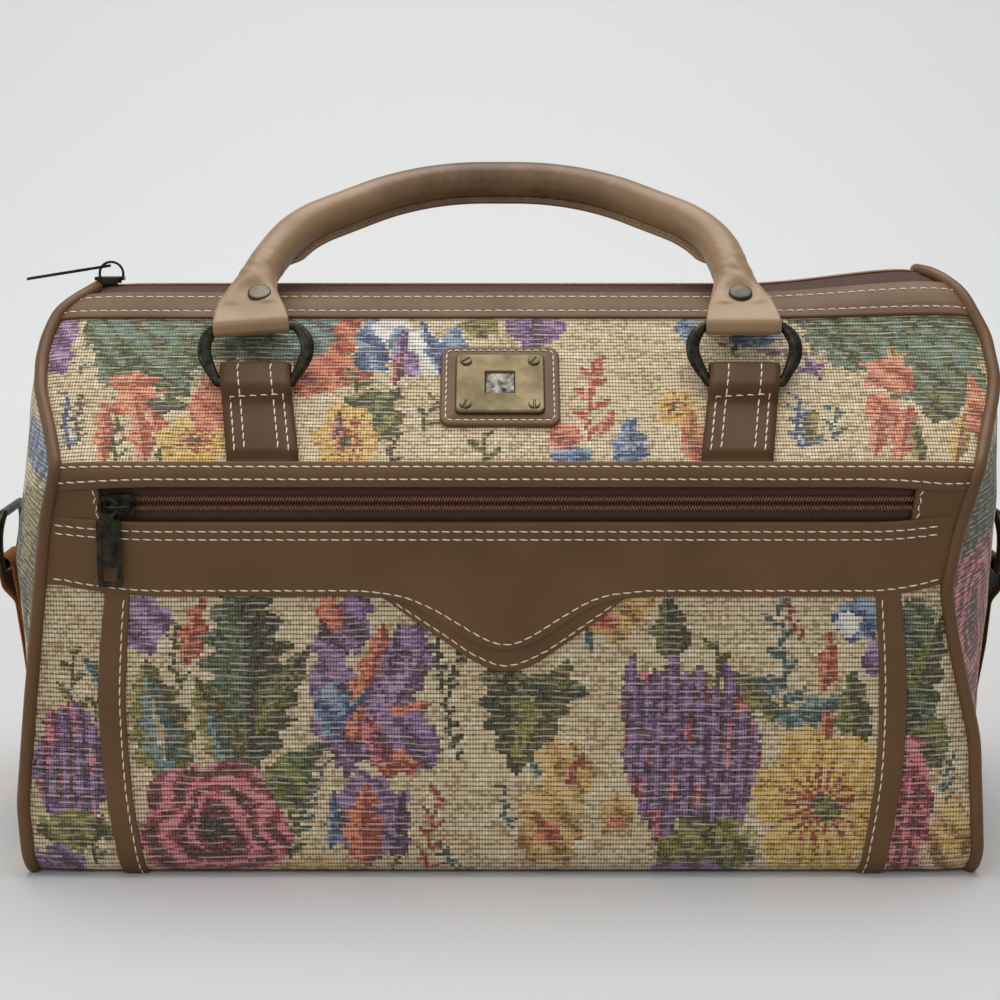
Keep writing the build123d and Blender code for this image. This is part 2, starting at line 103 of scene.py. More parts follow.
def noise(x, y, seed=0):
    # smooth value noise from 0 to 1: hashed values on a unit lattice, blended between its points
    x, y = np.broadcast_arrays(np.asarray(x, float), np.asarray(y, float))
    i, j = np.floor(x), np.floor(y)
    fx, fy = x - i, y - j
    fx, fy = fx * fx * (3 - 2 * fx), fy * fy * (3 - 2 * fy)
    near = speck(i, j, seed) * (1 - fx) + speck(i + 1, j, seed) * fx
    far = speck(i, j + 1, seed) * (1 - fx) + speck(i + 1, j + 1, seed) * fx
    return near * (1 - fy) + far * fy


def speck(i, j, seed=0):
    # a fixed number from 0 to 1 for each whole (i, j)
    return np.modf(np.abs(np.sin(i * 127.1 + j * 311.7 + seed * 74.7) * 43758.5453))[0]


def ramp(x, low, high):
    # 0 below low, 1 above high, smooth between them
    t = np.clip((x - low) / (high - low), 0, 1)
    return t * t * (3 - 2 * t)


seamS = np.arange(-baseMiddle, baseMiddle + 1, 1.0)


def smoothSeam(points):
    # the seam's x along the profile, with its corners averaged out
    raw = np.interp(seamS, *np.array(points, float).T)
    reach = body["seamSmoothing"]
    kernel = np.hanning(2 * reach + 3)[1:-1]
    padded = np.concatenate([raw[-reach - 1:-1], raw, raw[1:reach + 1]])
    return np.convolve(padded, kernel / kernel.sum(), "valid")


leftTable, rightTable = smoothSeam(body["leftSeam"]), smoothSeam(body["rightSeam"])


def leftSeam(s):
    # the x of the left end's seam at s, read off its smoothed line
    return np.interp(s, seamS, leftTable)


def rightSeam(s):
    # the x of the right end's seam at s
    return np.interp(s, seamS, rightTable)


def seamAt(s, side):
    # the seam of one end: side is -1 at the left and 1 at the right, here and below
    return leftSeam(s) if side < 0 else rightSeam(s)


def sideWord(side):
    # the word for a side in the names of pieces
    return "right" if side > 0 else "left"


def lift(x, s):
    # how far the ridge rises towards its right end
    return body["ridgeRise"] * ramp(x, 110, 205) * np.exp(-(s / 34) ** 2)


def softness(x, s):
    # how far the cloth stands out of the plain profile: the ridge lifts at its right end, the
    # front swells a little between the seams, and the cloth dips where it meets the piping
    gap = np.minimum(x - leftSeam(s), rightSeam(s) - x)
    inside = ramp(gap, 2, 45)
    drop = atHeight(0) - np.abs(s)
    low = ramp(drop, 8, 45) * ramp(150 - drop, 22, 70)
    swell = body["frontCrown"] * inside * low * (0.75 + 0.5 * noise(x / 60 + 7, s / 45, 3))
    dip = -body["seamDip"] * np.exp(-np.maximum(gap, 0) / 7)
    onSlope = ramp(np.abs(s), 36, 60) * ramp(128 - np.abs(s), 4, 24)
    waves = body["waves"] * (noise(x / 21, s / 16, 5) - 0.5) * 2 * np.maximum(low, onSlope)
    calm = 1 - ramp(np.abs(s), cornerEnd - 8, cornerEnd)
    tabs = ramp(np.abs(np.abs(x) - tabX), 18, 30)
    return lift(x, s) + (swell + dip + waves * (0.25 + 0.75 * tabs)) * calm


def footShare(s):
    # 1 round the front's foot, fading to 0 above it and towards the middle of the base
    return ramp(s, 228, 292) * (1 - ramp(s, cornerEnd + 10, baseMiddle))


def onBag(x, s, v=0.0, soft=True):
    # the point (x, s, v) in mm in the row frame
    x, s, v = np.broadcast_arrays(np.asarray(x, float), np.asarray(s, float), np.asarray(v, float))
    foot = footShare(s)
    y, z = profilePoint(s, v + (softness(x, s) if soft else 0) + body["footSwell"] * foot)
    y = y - body["footLean"] * foot * (1 - ramp(s, cornerEnd + 6, cornerEnd + 45))
    z = np.maximum(z, body["footLevel"] - 0.72 * v)
    return np.stack([x * (1 - body["footNarrow"] * foot), y, z], -1)


def outOfBag(x, s):
    # the unit direction out of the cloth at (x, s), from its face to a point 1 mm above it
    return unit(onBag(x, s, 1.0) - onBag(x, s, 0.0))


# Meshes
def addMesh(name, points, faces, bodyName, material, uv=None, colour=None, replaced=(), shell=False):
    # one piece on its body; a shell is welded at its poles and seams and turned to face outwards
    mesh = bpy.data.meshes.new(name)
    mesh.from_pydata((np.asarray(points).reshape(-1, 3) / 1000).tolist(), [], np.asarray(faces).tolist())
    if uv is not None:
        layer = mesh.uv_layers.new(name="UVMap")
        loops = np.empty(len(mesh.loops), np.int32)
        mesh.loops.foreach_get("vertex_index", loops)
        layer.data.foreach_set("uv", (np.asarray(uv).reshape(-1, 2) / 1000)[loops].ravel())
    if colour is not None:
        paint = mesh.color_attributes.new("cloth", "FLOAT_COLOR", "CORNER")
        paint.data.foreach_set("color", np.repeat(colour, 4, axis=0).ravel())
    if shell:
        work = bmesh.new()
        work.from_mesh(mesh)
        bmesh.ops.remove_doubles(work, verts=work.verts, dist=2e-6)
        bmesh.ops.recalc_face_normals(work, faces=work.faces)
        work.to_mesh(mesh)
        work.free()
    mesh.polygons.foreach_set("use_smooth", np.full(len(mesh.polygons), True))
    mesh.materials.append(material)
    piece = bpy.data.objects.new(name, mesh)
    bpy.context.collection.objects.link(piece)
    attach(piece, bodyName)
    if replaced:
        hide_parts(*replaced)
    return piece


def gridFaces(nu, nv, wrapU=False, wrapV=False, start=0):
    # the quads of a grid of nu by nv points, closed round either way if asked
    index = np.arange(nu * nv).reshape(nu, nv) + start
    if wrapU:
        index = np.concatenate([index, index[:1]], 0)
    if wrapV:
        index = np.concatenate([index, index[:, :1]], 1)
    return np.stack([index[:-1, :-1], index[1:, :-1], index[1:, 1:], index[:-1, 1:]], -1).reshape(-1, 4)


def grid(name, points, bodyName, material, wrapU=False, wrapV=False, flip=False, **more):
    # one piece from a grid of points, with quads between neighbours, turned round if flip is set
    faces = gridFaces(*points.shape[:2], wrapU, wrapV)
    return addMesh(name, points, faces[:, ::-1] if flip else faces, bodyName, material, **more)


def joined(name, parts, bodyName, material, **more):
    # several grids of points, each (points, wrapU, wrapV), in one mesh
    faces, start = [], 0
    for points, wrapU, wrapV in parts:
        faces.append(gridFaces(*points.shape[:2], wrapU, wrapV, start))
        start += points.shape[0] * points.shape[1]
    points = np.concatenate([part[0].reshape(-1, 3) for part in parts])
    return addMesh(name, points, np.concatenate(faces), bodyName, material, **more)


def thicken(piece, depth):
    # gives a sheet its thickness, inwards, with a closed rim
    wall = piece.modifiers.new("wall", "SOLIDIFY")
    wall.thickness = depth / 1000
    wall.offset = -1


def frames(path):
    # unit tangents along a path of points
    return unit(np.gradient(path, axis=0))


def unit(a):
    # vectors divided by their own lengths
    return a / np.linalg.norm(a, axis=-1, keepdims=True)


def tube(path, radius, sides=12, closed=False, up=(0, 0, 1.0)):
    # a circle of the given radius, or radii, carried along a path
    path = np.asarray(path, float)
    if closed:
        tangent = unit(np.roll(path, -1, 0) - np.roll(path, 1, 0))
    else:
        tangent = frames(path)
    across = unit(np.cross(tangent, np.broadcast_to(up, path.shape)))
    normal = np.cross(across, tangent)
    turn = np.linspace(0, 2 * np.pi, sides, endpoint=False)
    ring = across[:, None] * np.cos(turn)[None, :, None] + normal[:, None] * np.sin(turn)[None, :, None]
    return path[:, None] + ring * np.broadcast_to(radius, path.shape[:1])[:, None, None]


def along(path, step):
    # points at an even step along a path
    run = np.concatenate([[0], np.cumsum(np.linalg.norm(np.diff(path, axis=0), axis=1))])
    at = np.linspace(0, run[-1], max(int(run[-1] / step), 2) + 1)
    return np.stack([np.interp(at, run, path[:, k]) for k in range(path.shape[1])], -1)


stitch = {"pitch": 4.7, "length": 3.7, "thick": 0.33, "lift": 0.05}


def stitchRow(path, out, pitch=None, length=None, thick=None):
    # a row of arched threads: each is a slim spindle that leaves the leather, runs along it for
    # its length and goes back in
    pitch, length = pitch or stitch["pitch"], length or stitch["length"]
    thick = thick or stitch["thick"]
    run = np.concatenate([[0], np.cumsum(np.linalg.norm(np.diff(path, axis=0), axis=1))])
    count = max(int((run[-1] - length) / pitch) + 1, 1)
    starts = (run[-1] - (count - 1) * pitch - length) / 2 + np.arange(count) * pitch
    t = np.linspace(0, 1, 7)
    at = starts[:, None] + t[None] * length
    centre = np.stack([np.interp(at, run, path[:, k]) for k in range(3)], -1)
    away = unit(np.stack([np.interp(at, run, out[:, k]) for k in range(3)], -1))
    ahead = unit(centre[:, -1:] - centre[:, :1])
    side = unit(np.cross(np.broadcast_to(ahead, away.shape), away))
    arch = np.sin(np.pi * np.clip(t, 0.04, 0.96))[None, :, None]
    centre = centre + away * (stitch["lift"] + thick * (np.sqrt(arch) - 0.6))
    slant = 0.35 * (speck(np.arange(count), 0, 71) - 0.5)[:, None, None] + 0.25
    centre = centre + side * slant * (t - 0.5)[None, :, None]
    radius = thick * arch ** 0.4
    turn = np.linspace(0, 2 * np.pi, 6, endpoint=False)
    ring = side[:, :, None] * np.cos(turn)[:, None] + away[:, :, None] * np.sin(turn)[:, None] * 0.8
    return centre[:, :, None] + ring * radius[..., None]


def threads(name, rows, bodyName, material, replaced=()):
    # many little closed tubes in one mesh, with a cap of two quads on each end
    parts = np.concatenate(rows)
    count, stations, sides = parts.shape[:3]
    caps = np.array([[0, 1, 2, 3], [0, 3, 4, 5]])
    last = (stations - 1) * sides
    one = np.concatenate([gridFaces(stations, sides, False, True), caps[:, ::-1], caps + last])
    faces = (one[None] + (np.arange(count) * stations * sides)[:, None, None]).reshape(-1, 4)
    return addMesh(name, parts, faces, bodyName, material, replaced=replaced, shell=True)


strip = {"inset": (0, 0, 0.12, 0.45, 1.1), "rise": (0, 0.55, 0.85, 1, 1), "flatFrom": 1.3, "across": 17,
         "dome": 0.15, "groove": 0.2, "grooveHalf": 0.6}


def ribbon(edgeA, edgeB, v0, v1, grooves=()):
    # a strip of leather on the bag between two lines of (x, s): a flat band with rounded edges,
    # a slight dome and a shallow groove under each row of stitches, closed down to v0 all round
    a, b = np.asarray(edgeA, float), np.asarray(edgeB, float)
    wide = np.median(np.linalg.norm(b - a, axis=1))
    inset, height = np.array(strip["inset"]), np.array(strip["rise"])
    middle = np.linspace(0, 1, strip["across"])[1:-1]
    margin = strip["flatFrom"]
    part = np.concatenate([inset / wide, margin / wide + middle * (1 - 2 * margin / wide),
                           1 - inset[::-1] / wide])
    rise = np.concatenate([height, np.ones(len(middle)), height[::-1]])
    v = v0 + (v1 - v0) * rise + strip["dome"] * np.sin(np.pi * part) * (rise >= 1)
    spread = part * wide
    for groove in grooves:
        at = groove if groove >= 0 else wide + groove
        v = v - strip["groove"] * np.exp(-((spread - at) / strip["grooveHalf"]) ** 2) * (rise >= 1)
    flat = a[:, None] + (b - a)[:, None] * part[None, :, None]
    level = np.broadcast_to(v, flat.shape[:2])
    flat = np.concatenate([flat[:1], flat, flat[-1:]])
    ends = np.full((1, len(part)), float(v0))
    return onBag(flat[..., 0], flat[..., 1], np.concatenate([ends, level, ends]))


def alongBand(line, v):
    # points and outward directions of a line of (x, s), for stitching
    line = np.asarray(line, float)
    return onBag(line[:, 0], line[:, 1], v), outOfBag(line[:, 0], line[:, 1])


def roundEdge(distance):
    # the share of its thickness that leather has at a distance from its cut edge
    return 0.35 + 0.65 * np.sqrt(np.clip(distance / 0.7, 0, 1))


strapAcross = 11


def strap(centre, out, side, width, thick):
    # a leather strap along a path: a flat section with rounded edges, closed at both ends
    half = np.broadcast_to(np.asarray(width, float) / 2, centre.shape[:1])[:, None]
    t = np.linspace(-1, 1, strapAcross)
    across = np.concatenate([t, t[::-1]])
    level = np.repeat([1, -1], strapAcross) * thick / 2 * roundEdge((1 - np.abs(across)[None]) * half)
    line = side[:, None] * (across[None] * half)[..., None]
    flat = centre[:, None] + line
    skin = flat + out[:, None] * level[..., None]
    return np.concatenate([flat[:1], skin, flat[-1:]])


# Materials: a small kit for wiring nodes, then one recipe for each finish
def linear(r, g, b):
    # an sRGB colour of 0 to 255 as the linear one that the shaders take
    c = np.array([r, g, b]) / 255
    return np.where(c <= 0.04045, c / 12.92, ((c + 0.055) / 1.055) ** 2.4)


class Recipe:
    # wires one material: each call adds a node and gives back its output
    def __init__(self, name, rgb, rough, metallic=0.0):
        self.material = bpy.data.materials.new(name)
        self.material.use_nodes = True
        self.tree = self.material.node_tree
        self.shader = self.tree.nodes["Principled BSDF"]
        self.shader.inputs["Base Color"].default_value = (*linear(*rgb), 1)
        self.shader.inputs["Roughness"].default_value = rough
        self.shader.inputs["Metallic"].default_value = metallic

    def put(self, node, key, value):
        if isinstance(value, bpy.types.NodeSocket):
            self.tree.links.new(value, node.inputs[key])
        else:
            node.inputs[key].default_value = value

    def math(self, kind, a, b=0.0, c=0.0, clamp=False):
        node = self.tree.nodes.new("ShaderNodeMath")
        node.operation, node.use_clamp = kind, clamp
        for key, value in enumerate((a, b, c)):
            self.put(node, key, value)
        return node.outputs[0]

    def coords(self, scale=(1, 1, 1), source="Object"):
        node = self.tree.nodes.new("ShaderNodeTexCoord")
        mapping = self.tree.nodes.new("ShaderNodeMapping")
        self.tree.links.new(node.outputs[source], mapping.inputs["Vector"])
        mapping.inputs["Scale"].default_value = scale
        return mapping.outputs[0]

    def noise(self, vector, scale, detail=2.0, rough=0.5, distortion=0.0):
        node = self.tree.nodes.new("ShaderNodeTexNoise")
        self.tree.links.new(vector, node.inputs["Vector"])
        node.inputs["Scale"].default_value = scale
        node.inputs["Detail"].default_value = detail
        node.inputs["Roughness"].default_value = rough
        node.inputs["Distortion"].default_value = distortion
        return node.outputs[0]

    def cells(self, vector, scale):
        node = self.tree.nodes.new("ShaderNodeTexVoronoi")
        self.tree.links.new(vector, node.inputs["Vector"])
        node.inputs["Scale"].default_value = scale
        return node.outputs[0]

    def remap(self, value, low, high, to0=0.0, to1=1.0):
        node = self.tree.nodes.new("ShaderNodeMapRange")
        self.put(node, 0, value)
        for key, number in enumerate((low, high, to0, to1), 1):
            node.inputs[key].default_value = number
        return node.outputs[0]

    def mix(self, factor, a, b):
        node = self.tree.nodes.new("ShaderNodeMix")
        node.data_type = "RGBA"
        self.put(node, "Factor", factor)
        for key, value in ((6, a), (7, b)):
            if not isinstance(value, bpy.types.NodeSocket):
                value = (*linear(*value), 1)
            self.put(node, key, value)
        return node.outputs[2]

    def bump(self, height, strength, distance):
        node = self.tree.nodes.new("ShaderNodeBump")
        node.inputs["Strength"].default_value = strength
        node.inputs["Distance"].default_value = distance / 1000
        self.put(node, "Height", height)
        self.tree.links.new(node.outputs[0], self.shader.inputs["Normal"])

    def done(self, **sockets):
        for key, value in sockets.items():
            self.put(self.shader, key.replace("_", " "), value)
        return self.material


# the weave's spacings, in mm: warp columns, ribs, and the broken pale threads over the motifs
cloth = {"column": 1.3, "rib": 2.0, "paleWeft": 2.9, "thick": 2.0}


def woven():
    # tapestry: painted threads, with ribs across and a dark gap between them
    r = Recipe("tapestry", (200, 185, 150), 0.85)
    paint = r.tree.nodes.new("ShaderNodeAttribute")
    paint.attribute_name = "cloth"
    motif = paint.outputs["Alpha"]
    split = r.tree.nodes.new("ShaderNodeSeparateXYZ")
    r.tree.links.new(r.coords(source="UV"), split.inputs[0])
    column = r.math("FRACT", r.math("MULTIPLY", split.outputs[0], 1000 / cloth["column"]))
    row = r.math("FRACT", r.math("MULTIPLY", split.outputs[1], 1000 / cloth["rib"]))
    gapH = r.remap(r.math("ABSOLUTE", r.math("SUBTRACT", row, 0.5)), 0.24, 0.46)
    gapV = r.remap(r.math("ABSOLUTE", r.math("SUBTRACT", column, 0.5)), 0.22, 0.46)
    dot = r.math("MULTIPLY", gapH, gapV)
    shade = r.math("ADD", r.math("MULTIPLY", gapH, 0.48), r.math("MULTIPLY", dot, 0.5))
    shade = r.math("ADD", shade, r.math("MULTIPLY", gapV, 0.28), clamp=True)
    fuzz = r.noise(r.coords(), 1500, 1)
    colour = r.mix(r.remap(fuzz, 0.3, 0.7, 0.0, 0.2), paint.outputs["Color"], (226, 210, 180))
    # broken pale weft threads and dark warp dashes lie over the motifs
    wander = r.math("MULTIPLY", r.noise(r.coords((45, 30, 1), source="UV"), 1, 1), 1.1)
    weft = r.math("MULTIPLY", split.outputs[1], 1000 / cloth["paleWeft"])
    weft = r.math("FRACT", r.math("ADD", weft, wander))
    weft = r.remap(r.math("ABSOLUTE", r.math("SUBTRACT", weft, 0.5)), 0.14, 0.08)
    broken = r.remap(r.noise(r.coords((130, 345, 1), source="UV"), 1, 1), 0.45, 0.51)
    weft = r.math("MULTIPLY", r.math("MULTIPLY", weft, broken), motif)
    colour = r.mix(r.math("MULTIPLY", weft, 0.55), colour, (222, 200, 188))
    dash = r.remap(r.noise(r.coords((900, 260, 1), source="UV"), 1, 1), 0.58, 0.66)
    dash = r.math("MULTIPLY", r.math("MULTIPLY", dash, gapH), motif)
    shade = r.math("ADD", shade, r.math("MULTIPLY", dash, 0.5), clamp=True)
    shade = r.math("MULTIPLY", shade, r.math("SUBTRACT", 1.0, r.math("MULTIPLY", weft, 0.7)))
    colour = r.mix(shade, colour, (34, 25, 14))
    high = r.math("SUBTRACT", 1.0, r.math("MAXIMUM", gapH, r.math("MULTIPLY", gapV, 0.6)))
    r.bump(r.math("ADD", high, r.math("MULTIPLY", fuzz, 0.4)), 0.75, 0.45)
    return r.done(Base_Color=colour, Sheen_Weight=0.15, Specular_IOR_Level=0.25)


def hide(name, rgb, dark, rough=0.46, shine=0.3, middleTone=None):
    # smooth grained leather: cloudy tan, fine pebbles, faint creases, and, if a middle tone is given,
    # that darker colour across its middle, near x = 0, in uneven patches
    r = Recipe(name, rgb, rough)
    cloud = r.noise(r.coords(), 26, 3, 0.55)
    fine = r.noise(r.coords(), 900, 2)
    colour = r.mix(r.remap(cloud, 0.35, 0.7), rgb, dark)
    colour = r.mix(r.remap(fine, 0.3, 0.7, 0.0, 0.25), colour, dark)
    if middleTone:
        split = r.tree.nodes.new("ShaderNodeSeparateXYZ")
        r.tree.links.new(r.coords(), split.inputs[0])
        # the middle tone is full within 20 mm of x = 0 and fades out by 95 mm, its strength varying from
        # patch to patch
        middleShare = r.remap(r.math("ABSOLUTE", split.outputs[0]), 0.095, 0.02)
        middleShare = r.math("MULTIPLY", middleShare, r.remap(r.noise(r.coords((60, 60, 60)), 1, 3), 0.25, 0.6, 0.55, 1.0))
        colour = r.mix(middleShare, colour, middleTone)
    pebble = r.cells(r.coords(), 1150)
    crease = r.noise(r.coords((1, 0.45, 1)), 160, 4, 0.6, 0.6)
    height = r.math("ADD", r.math("MULTIPLY", pebble, -0.35), r.math("MULTIPLY", crease, 0.6))
    r.bump(height, 0.32, 0.25)
    roughness = r.remap(cloud, 0.3, 0.7, rough - 0.05, rough + 0.08)
    return r.done(Base_Color=colour, Roughness=roughness, Specular_IOR_Level=shine)


def cord(name, rgb, dark):
    # zip tape: fine ribs along its length, crossed by finer ones, with painted shade darkening the troughs
    # between them
    r = Recipe(name, rgb, 0.75)
    split = r.tree.nodes.new("ShaderNodeSeparateXYZ")
    r.tree.links.new(r.coords(source="UV"), split.inputs[0])
    wale = r.math("SINE", r.math("MULTIPLY", split.outputs[1], 6283 / 0.9))
    pick = r.math("SINE", r.math("MULTIPLY", split.outputs[0], 6283 / 1.25))
    level = r.math("ADD", r.math("MULTIPLY", wale, 0.6), r.math("MULTIPLY", pick, 0.4))
    # painted shade: the colour follows the ribs' height, darkest in the troughs
    colour = r.mix(r.remap(level, -0.9, 0.9), dark, rgb)
    r.bump(level, 0.5, 0.25)
    return r.done(Base_Color=colour)


def metal(name, rgb, dark, rough, brushed=(0, 0, 0), spots=240):
    # aged metal: worn bright on the open faces, dark in the hollows, with brush lines if asked
    r = Recipe(name, rgb, rough, 1.0)
    worn = r.noise(r.coords(), spots, 4, 0.6)
    colour = r.mix(r.remap(worn, 0.36, 0.66), dark, rgb)
    if any(brushed):
        line = r.noise(r.coords(brushed), 60, 3, 0.7)
        colour = r.mix(r.remap(line, 0.3, 0.7, 0.0, 0.55), colour, dark)
        r.bump(line, 0.25, 0.05)
    else:
        r.bump(worn, 0.12, 0.1)
    return r.done(Base_Color=colour, Roughness=r.remap(worn, 0.3, 0.7, rough + 0.12, rough - 0.05))


def plain(name, rgb, dark, rough, scale=300):
    # a plain dull finish with a little variation
    r = Recipe(name, rgb, rough)
    cloud = r.noise(r.coords(), scale, 3)
    r.bump(cloud, 0.2, 0.15)
    return r.done(Base_Color=r.mix(r.remap(cloud, 0.3, 0.7), rgb, dark))


tapestry = woven()
trimHide = hide("trim leather", (103, 73, 43), (91, 63, 36))
handleHide = hide("handle leather", (154, 124, 90), (132, 104, 73), 0.37, 0.42, (92, 65, 37))
tabHide = hide("tab leather", (82, 56, 30), (72, 48, 25), 0.52, 0.17)
suede = plain("suede side", (150, 92, 42), (116, 70, 30), 0.9, 700)
thread = plain("thread", (232, 223, 206), (206, 194, 172), 0.6, 900)
threadDark = plain("dark thread", (120, 96, 72), (92, 72, 52), 0.6, 900)
tapeCloth = cord("zip tape", (84, 46, 31), (40, 22, 15))
coilPlastic = plain("zip coil", (150, 100, 74), (118, 72, 50), 0.38, 500)
gunmetal = metal("gunmetal", (66, 64, 54), (36, 34, 28), 0.34)
rivetMetal = metal("rivet metal", (90, 85, 77), (68, 64, 57), 0.42, spots=90)
brass = metal("antique brass", (112, 101, 77), (86, 77, 57), 0.36, (1, 22, 22), 70)
sunkMetal = metal("sunk metal", (120, 116, 108), (30, 28, 30), 0.4)
boardCard = plain("stiff board", (150, 124, 98), (132, 108, 84), 0.9)
liningCloth = plain("lining", (108, 88, 66), (88, 70, 50), 0.85)
print("materials ready")


# The tapestry's flowers: traditional motifs laid out on the cloth as simple shapes
palettes = {  # dark, middle and light threads
    "ground": ((176, 151, 112), (217, 196, 158), (238, 223, 192)),
    "olive": ((62, 62, 22), (104, 102, 40), (142, 136, 66)),
    "moss": ((38, 50, 22), (76, 90, 38), (118, 126, 60)),
    "deep": ((22, 34, 22), (52, 72, 42), (82, 106, 80)),
    "leafdark": ((28, 34, 16), (64, 74, 34), (106, 112, 56)),
    "teal": ((44, 74, 72), (76, 112, 108), (122, 152, 148)),
    "leafteal": ((46, 62, 28), (84, 102, 62), (104, 132, 116)),
    "purple": ((58, 30, 62), (98, 64, 110), (146, 114, 158)),
    "lilac": ((86, 52, 96), (128, 92, 140), (172, 140, 178)),
    "coral": ((140, 50, 32), (192, 88, 58), (222, 132, 96)),
    "salmon": ((160, 66, 44), (206, 110, 78), (232, 152, 116)),
    "crimson": ((78, 14, 32), (146, 42, 66), (212, 122, 134)),
    "ochre": ((136, 92, 40), (192, 148, 78), (222, 186, 116)),
    "gold": ((140, 92, 34), (202, 156, 72), (228, 192, 110)),
    "dusty": ((40, 68, 108), (82, 112, 148), (144, 166, 186)),
    "cream": ((214, 206, 196), (232, 226, 216), (244, 240, 232)),
    "night": ((26, 20, 30), (36, 26, 36), (60, 40, 56)),
}

# The camera, placed to match the photograph's view, which also looks at the finished piece
view = {"place": (0, -0.888, 0.304), "down": 10, "lens": 68.04, "sensor": 36, "pixels": 1000}

# The two flat faces that the flowers are on: a point (y, z) at the foot of each, and its slope
flatFaces = {"front": ((-halfDepth, 0), np.pi / 2), "slope": (profilePoint(slopeEnd, 0), slope)}


def onFace(face, px, py):
    # (x, distance up from the foot) in mm where the camera's ray through a pixel meets a face
    (footY, footZ), rise = face
    place, down = np.array(view["place"]) * 1000, np.radians(view["down"])
    focal = view["pixels"] * view["lens"] / view["sensor"]
    right, up = (px - view["pixels"] / 2) / focal, (view["pixels"] / 2 - py) / focal
    ray = np.array([right, np.cos(down) + up * np.sin(down), up * np.cos(down) - np.sin(down)])
    facing = np.array([0, -np.sin(rise), np.cos(rise)])
    foot = np.array([0, footY, footZ])
    hit = place + ray * ((foot - place) @ facing) / (ray @ facing)
    return hit[0], (hit - foot) @ [0, np.cos(rise), np.sin(rise)]


def fromPhoto(face, rows):
    # each flower as (kind, thread colours, numbers in mm). A leaf or a sprig is given by its foot, its
    # tip and its width or size, the others by their middle, reach across, reach up and turn. Their
    # numbers are pixels of the photograph and are rounded once in mm, but rows marked
    # mm were moved on the cloth, which starts at the base in front and at the fold above it
    placed = []
    for kind, shade, *numbers in rows:
        if numbers[0] == "mm":
            placed.append((kind, shade, *numbers[1:]))
            continue
        px, py, a, b, *rest = numbers
        x, h = onFace(face, px, py)
        if kind in ("leaf", "sprig"):
            scale = (onFace(face, px + 10, py)[0] - x) / 10
            sizes = [*onFace(face, a, b), rest[0] * scale]
        else:
            sizes = [onFace(face, px + a, py)[0] - x, onFace(face, px, py - b)[1] - h, *rest]
        sizes = [float(number) for number in (x, h, *sizes)]
        placed.append((kind, shade, *(round(n, 1) if abs(n) < 10 else round(n) for n in sizes)))
    return placed


